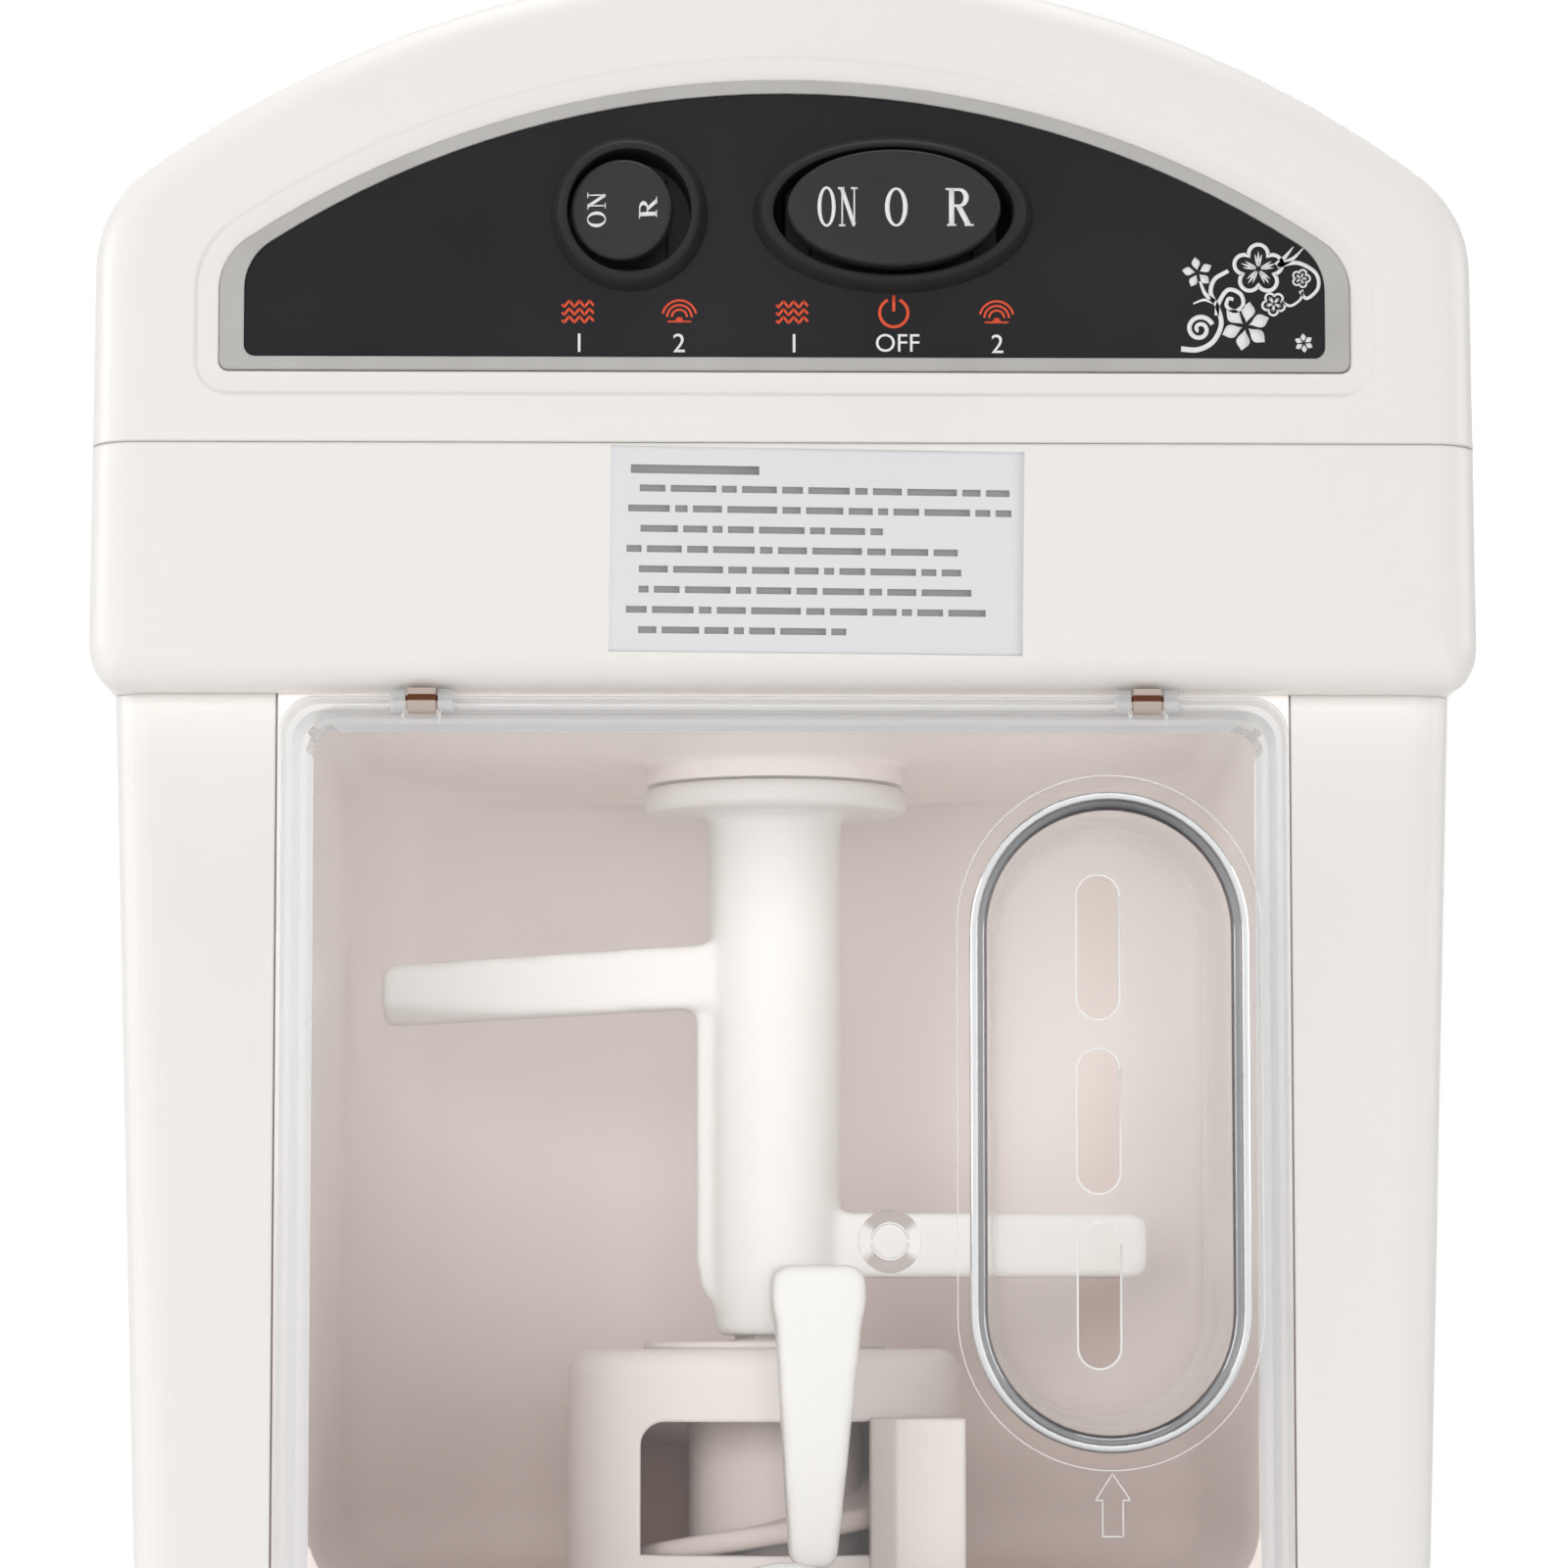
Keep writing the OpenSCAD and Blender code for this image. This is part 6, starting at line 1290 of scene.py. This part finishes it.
def serif(letter):
    """Strips and outlines of a roman capital, one unit tall, with its left foot at the origin."""
    thick, thin, serif_w = 0.15, 0.06, 0.26

    def bar(x0, z0, x1, z1, w):
        return ribbon([(x0, z0), (x1, z1)], w)

    def foot(x, z):
        return bar(x - serif_w / 2, z, x + serif_w / 2, z, 0.05)

    if letter == "O":
        outer = arc((0.36, 0.5), 0.36, 0.52, 0, 360, 48)
        inner = arc((0.36, 0.5), 0.21, 0.46, 0, 360, 48)
        return [np.stack([outer, inner], 1)]
    if letter == "N":
        return [bar(0.14, 0, 0.14, 1, thin), bar(0.62, 0, 0.62, 1, thin),
                bar(0.12, 0.98, 0.62, 0.02, thick), foot(0.14, 0.02), foot(0.1, 0.98), foot(0.62, 0.98)]
    bowl_out = np.concatenate([[(0.2, 1.0)], arc((0.38, 0.75), 0.27, 0.25, 90, -90, 20), [(0.2, 0.5)]])
    bowl_in = np.concatenate([[(0.2, 0.93)], arc((0.36, 0.75), 0.14, 0.18, 90, -90, 20), [(0.2, 0.57)]])
    return [bar(0.16, 0, 0.16, 1, thick), np.stack([bowl_out, bowl_in], 1),
            bar(0.36, 0.52, 0.64, 0.02, thick), foot(0.16, 0.02), foot(0.12, 0.98), foot(0.66, 0.02)]


def spell(word, x, height, width, turned=False):
    """Serif letters side by side, middle at x; turned letters read upwards."""
    shapes, pen = [], 0.0
    for letter in word:
        shapes += [s + (pen, 0) for s in serif(letter)]
        pen += 0.84
    out = []
    span = pen - 0.12
    for s in shapes:
        u = (s[..., 0] - span / 2) / span * width
        v = (s[..., 1] - 0.5) * height
        out.append(np.stack([x - v, u], -1) if turned else np.stack([x + u, v], -1))
    return out


def label_sheet(u, v, lift):
    """Points over the label's film, lifted off the band's face. u runs across and v down, from 0 to
    1. On the rolled lower edge, below the height LABEL_ROLL_Z, a point at angle a round the roll is
    at z = LABEL_ROLL_Z - r sin a and y = FACE_Y + LABEL_ROLL - r cos a."""
    u, v = np.meshgrid(u, v, indexing="ij")
    top_left, top_right, low_right, low_left = np.array(LABEL)
    top = top_left + (top_right - top_left) * u[..., None]
    low = low_left + (low_right - low_left) * u[..., None]
    flat = top + (low - top) * v[..., None]
    drop = np.clip(LABEL_ROLL_Z - flat[..., 1], 0, LABEL_ROLL)
    a, r = drop / LABEL_ROLL, LABEL_ROLL + lift
    z = np.where(drop > 0, LABEL_ROLL_Z - r * np.sin(a), flat[..., 1])
    depth = np.where(drop > 0, FACE_Y + LABEL_ROLL - r * np.cos(a), FACE_Y - lift)
    return np.stack([flat[..., 0], depth, z], -1)


def label_dashes(lines):
    """Ruled dashes of word length: (middle, half height, start, end) as shares of the film's height
    and width. The first is the heading."""
    starts = (0.072, 0.045, 0.075, 0.042, 0.072, 0.072, 0.042, 0.072)
    ends = (0.965, 0.97, 0.66, 0.86, 0.85, 0.9, 0.91, 0.6)
    lengths = (0.062, 0.11, 0.036, 0.084, 0.05, 0.1, 0.03, 0.07, 0.12, 0.044, 0.09, 0.058, 0.024)
    dashes = [(0.112, 0.021, 0.05, 0.36)]
    for k in range(lines):
        at, end, i = starts[k % len(starts)], ends[k % len(ends)], 5 * k
        while at < end - 0.02:
            stop = min(at + lengths[i % len(lengths)], end)
            dashes.append((0.205 + 0.0985 * k, 0.0165, at, stop))
            at, i = stop + 0.013, i + 1
    return dashes


def laid(name, patches, thickness, offset, **options):
    """Sheets that face the front, with a thickness."""
    obj = make(name, patches, recalc=False, **options)
    face_front(obj.data)
    return settle(walled(obj, thickness, offset))


class PASTA_OT_prints(bpy.types.Operator):
    """Symbols, legends and scroll on the panel, letters on the rockers, and the ruled label"""
    bl_idname = "pasta_maker.prints"
    bl_label = "Prints and label"

    def execute(self, context):
        s = context.scene.pasta_prints
        light = MATERIALS["letters"]
        y = PANEL_Y - 0.02
        place(ink("panel_symbols", symbol_shapes(), y), MATERIALS["symbols"], "main", "panel_black")
        place(ink("panel_scroll", scroll_shapes(), y), light, "main", "panel_black")
        words = [("1", 4.3, -32.7, 312.75), ("2", 4.3, -16.85, 312.75), ("1", 4.3, 1.4, 312.75),
                 ("OFF", 4.1, 17.85, 312.85), ("2", 4.3, 33.7, 312.75)]
        place(letters("panel_legends", words, y), light, "main", "panel_black")
        round_words = spell("ON", -3.9, 2.9, 5.5, True) + spell("R", 4.4, 2.9, 3.1, True)
        oval_words = spell("ON", -9.0, 6.2, 6.2) + spell("O", 0.35, 6.0, 3.6) + spell("R", 10.2, 6.0, 4.0)
        for body, marks, x, size, swing, tilt in (
                ("round_switch", round_words, ROUND_X, ROUND_ROCKER, ROUND_SWING, ROUND_TILT),
                ("oval_switch", oval_words, OVAL_X, OVAL_ROCKER, OVAL_SWING, 0.0)):
            name = body.replace("switch", "rocker_letters")
            obj = ink(name, marks, PIVOT_Y - swing - 0.02, tilt, (x, SWITCH_Z), dish=size)
            place(obj, light, body, "switch_black")

        film = label_sheet(np.linspace(0, 1, 40), np.linspace(0, 1, 60), 0.02)
        place(laid("label_film", [("grid", film, False)], 0.1, 1), MATERIALS["film"], "main", "shell")
        bars = [("grid", label_sheet(np.linspace(at, stop, 4), (v - half, v + half), 0.13), False)
                for v, half, at, stop in label_dashes(s.label_lines)]
        place(laid("label_ruling", bars, 0.03, 0, weld=0.001), MATERIALS["grey_print"], "main", "shell")
        return {"FINISHED"}


# ---------------------------------------------------------------- stage

CAMERA, AIM = (-0.0157, -1.078, 0.1545), (0, -0.128, 0.2436)
LAMP_AIM = (0, -0.05, 0.2)
# Place and size in metres, power in watts, and whether gloss mirrors the lamp
LAMPS = {
    "front lamp": ((-0.45, -2.4, 0.55), (1.8, 1.0), 30.0, False),
    "left lamp": ((-2.3, 0.1, 0.8), (1.2, 1.2), 13.0, True),
    "right lamp": ((2.3, 0.1, 0.8), (1.2, 1.2), 11.0, True),
    "back lamp": ((0.3, 2.3, 0.9), (1.6, 1.4), 25.0, True),
    "top lamp": ((0.0, 0.1, 2.2), (1.6, 1.6), 19.0, True),
}
# Three lamps reach only into the tub, so that it is lit as plainly as the shells are
TUB_LAMPS = (((-0.75, -1.45, 0.3), 1.9), ((0.75, -1.45, 0.3), 3.0), ((0, -0.95, -0.2), 3.2))
TUB_LAMP_SIZE = (0.7, 0.7)
SHADING = ("mixing_tub", "screw_barrel")
LIT = (*SHADING, "barrel_washer", "stirrer_moulding", "press_screw")
FLOOR_R = (0.0, 300.0, 700.0, 1200.0, 1700.0)


def facing(obj, at, target):
    """Puts a lamp or the camera in its place, turned to its target."""
    obj.location = at
    obj.rotation_euler = (Vector(target) - Vector(at)).to_track_quat("-Z", "Y").to_euler()
    return obj


def lamp(name, at, size, power, mirrored):
    """A soft oblong lamp. Where mirrored is false, gloss and clear plastic show the surroundings in
    its place."""
    data = bpy.data.lights.new(name, "AREA")
    data.shape = "RECTANGLE"
    data.size, data.size_y = size
    data.energy = power
    obj = facing(new_object(name, data), at, LAMP_AIM)
    obj.visible_glossy = obj.visible_transmission = mirrored
    obj.visible_camera = False
    return obj


def gathered(name, members):
    """A collection that a lamp's light linking names."""
    out = bpy.data.collections.new(name)
    for member in members:
        out.objects.link(bpy.data.objects[member])
    return out


class PASTA_OT_stage(bpy.types.Operator):
    """Pale floor, white surroundings, soft lamps and the camera"""
    bl_idname = "pasta_maker.stage"
    bl_label = "Stage"

    def execute(self, context):
        scene = context.scene
        s = scene.pasta_stage
        self.make_floor()
        world = bpy.data.worlds.new("white surroundings")
        world.use_nodes = True
        tree = world.node_tree
        seen = rays(tree, "Is Camera Ray", "Is Glossy Ray", "Is Transmission Ray")
        level = maths(tree, "ADD", maths(tree, "MULTIPLY", seen, 1.0 - s.world), s.world)
        back = tree.nodes["Background"].inputs
        back["Color"].default_value = (1, 1, 1, 1)
        feed(tree, level, back["Strength"])
        scene.world = world

        for name, (at, size, power, mirrored) in LAMPS.items():
            lamp(name, at, size, power * s.lamps, mirrored)
        lit, shading = gathered("lit by the tub lamps", LIT), gathered("shading the tub lamps", SHADING)
        for at, power in TUB_LAMPS:
            fill = lamp("tub lamp", at, TUB_LAMP_SIZE, power * s.lamps, False)
            fill.light_linking.receiver_collection = lit
            fill.light_linking.blocker_collection = shading

        data = bpy.data.cameras.new("camera")
        data.lens = s.focal
        data.sensor_width = 36
        data.sensor_fit = "HORIZONTAL"
        data.clip_start, data.clip_end = 0.05, 20
        scene.camera = facing(new_object("camera", data), CAMERA, AIM)
        scene.view_settings.view_transform = "Standard"
        return {"FINISHED"}

    @staticmethod
    def make_floor():
        """A pale disc that fades into the white surroundings away from the object."""
        radii = np.array(FLOOR_R)
        floor = lathe_z("floor", np.stack([radii, np.zeros(len(radii))], -1), (0, 0), 96)
        if floor.data.polygons[0].normal.z < 0:
            floor.data.flip_normals()
        mat, tree, _ = principled("pale floor", Base_Color=(0.87, 0.87, 0.87, 1), Roughness=0.6)
        far = node(tree, "VectorMath", operation="LENGTH")
        feed(tree, object_place(tree), far.inputs[0])
        fade = ramp_between(tree, far.outputs["Value"], 0.35, 1.3)
        seen = rays(tree, "Is Camera Ray", "Is Glossy Ray", "Is Transmission Ray")
        glow = node(tree, "Emission", Color=(1, 1, 1, 1), Strength=1.0)
        show(tree, maths(tree, "MULTIPLY", fade, seen), glow.outputs[0])
        floor.data.materials.append(mat)


# ---------------------------------------------------------------- panel and registration

STEPS = (PASTA_OT_finishes, PASTA_OT_head, PASTA_OT_cover, PASTA_OT_stirrer, PASTA_OT_screw,
         PASTA_OT_switches, PASTA_OT_prints, PASTA_OT_stage)


class PASTA_PT_panel(bpy.types.Panel):
    """Lists the steps and their sizes and colours"""
    bl_idname = "PASTA_PT_panel"
    bl_label = "Pasta maker"
    bl_space_type = "VIEW_3D"
    bl_region_type = "UI"
    bl_category = "Pasta maker"

    def draw(self, context):
        for name in SETTINGS:
            group_of = getattr(context.scene, name)
            box = self.layout.box()
            for key in group_of.__annotations__:
                box.prop(group_of, key)
        for step in STEPS:
            self.layout.operator(step.bl_idname)


SETTINGS = {"pasta_shells": PastaShellSettings, "pasta_cover": PastaCoverSettings,
            "pasta_screw": PastaScrewSettings, "pasta_prints": PastaPrintSettings,
            "pasta_stage": PastaStageSettings}
CLASSES = (*SETTINGS.values(), *STEPS, PASTA_PT_panel)


def register():
    for cls in CLASSES:
        bpy.utils.register_class(cls)
    for name, cls in SETTINGS.items():
        setattr(bpy.types.Scene, name, PointerProperty(type=cls))


def unregister():
    for name in SETTINGS:
        delattr(bpy.types.Scene, name)
    for cls in reversed(CLASSES):
        bpy.utils.unregister_class(cls)


def main():
    register()
    for step in STEPS:
        family, call = step.bl_idname.split(".")
        getattr(getattr(bpy.ops, family), call)()


if __name__ == "__main__":
    main()
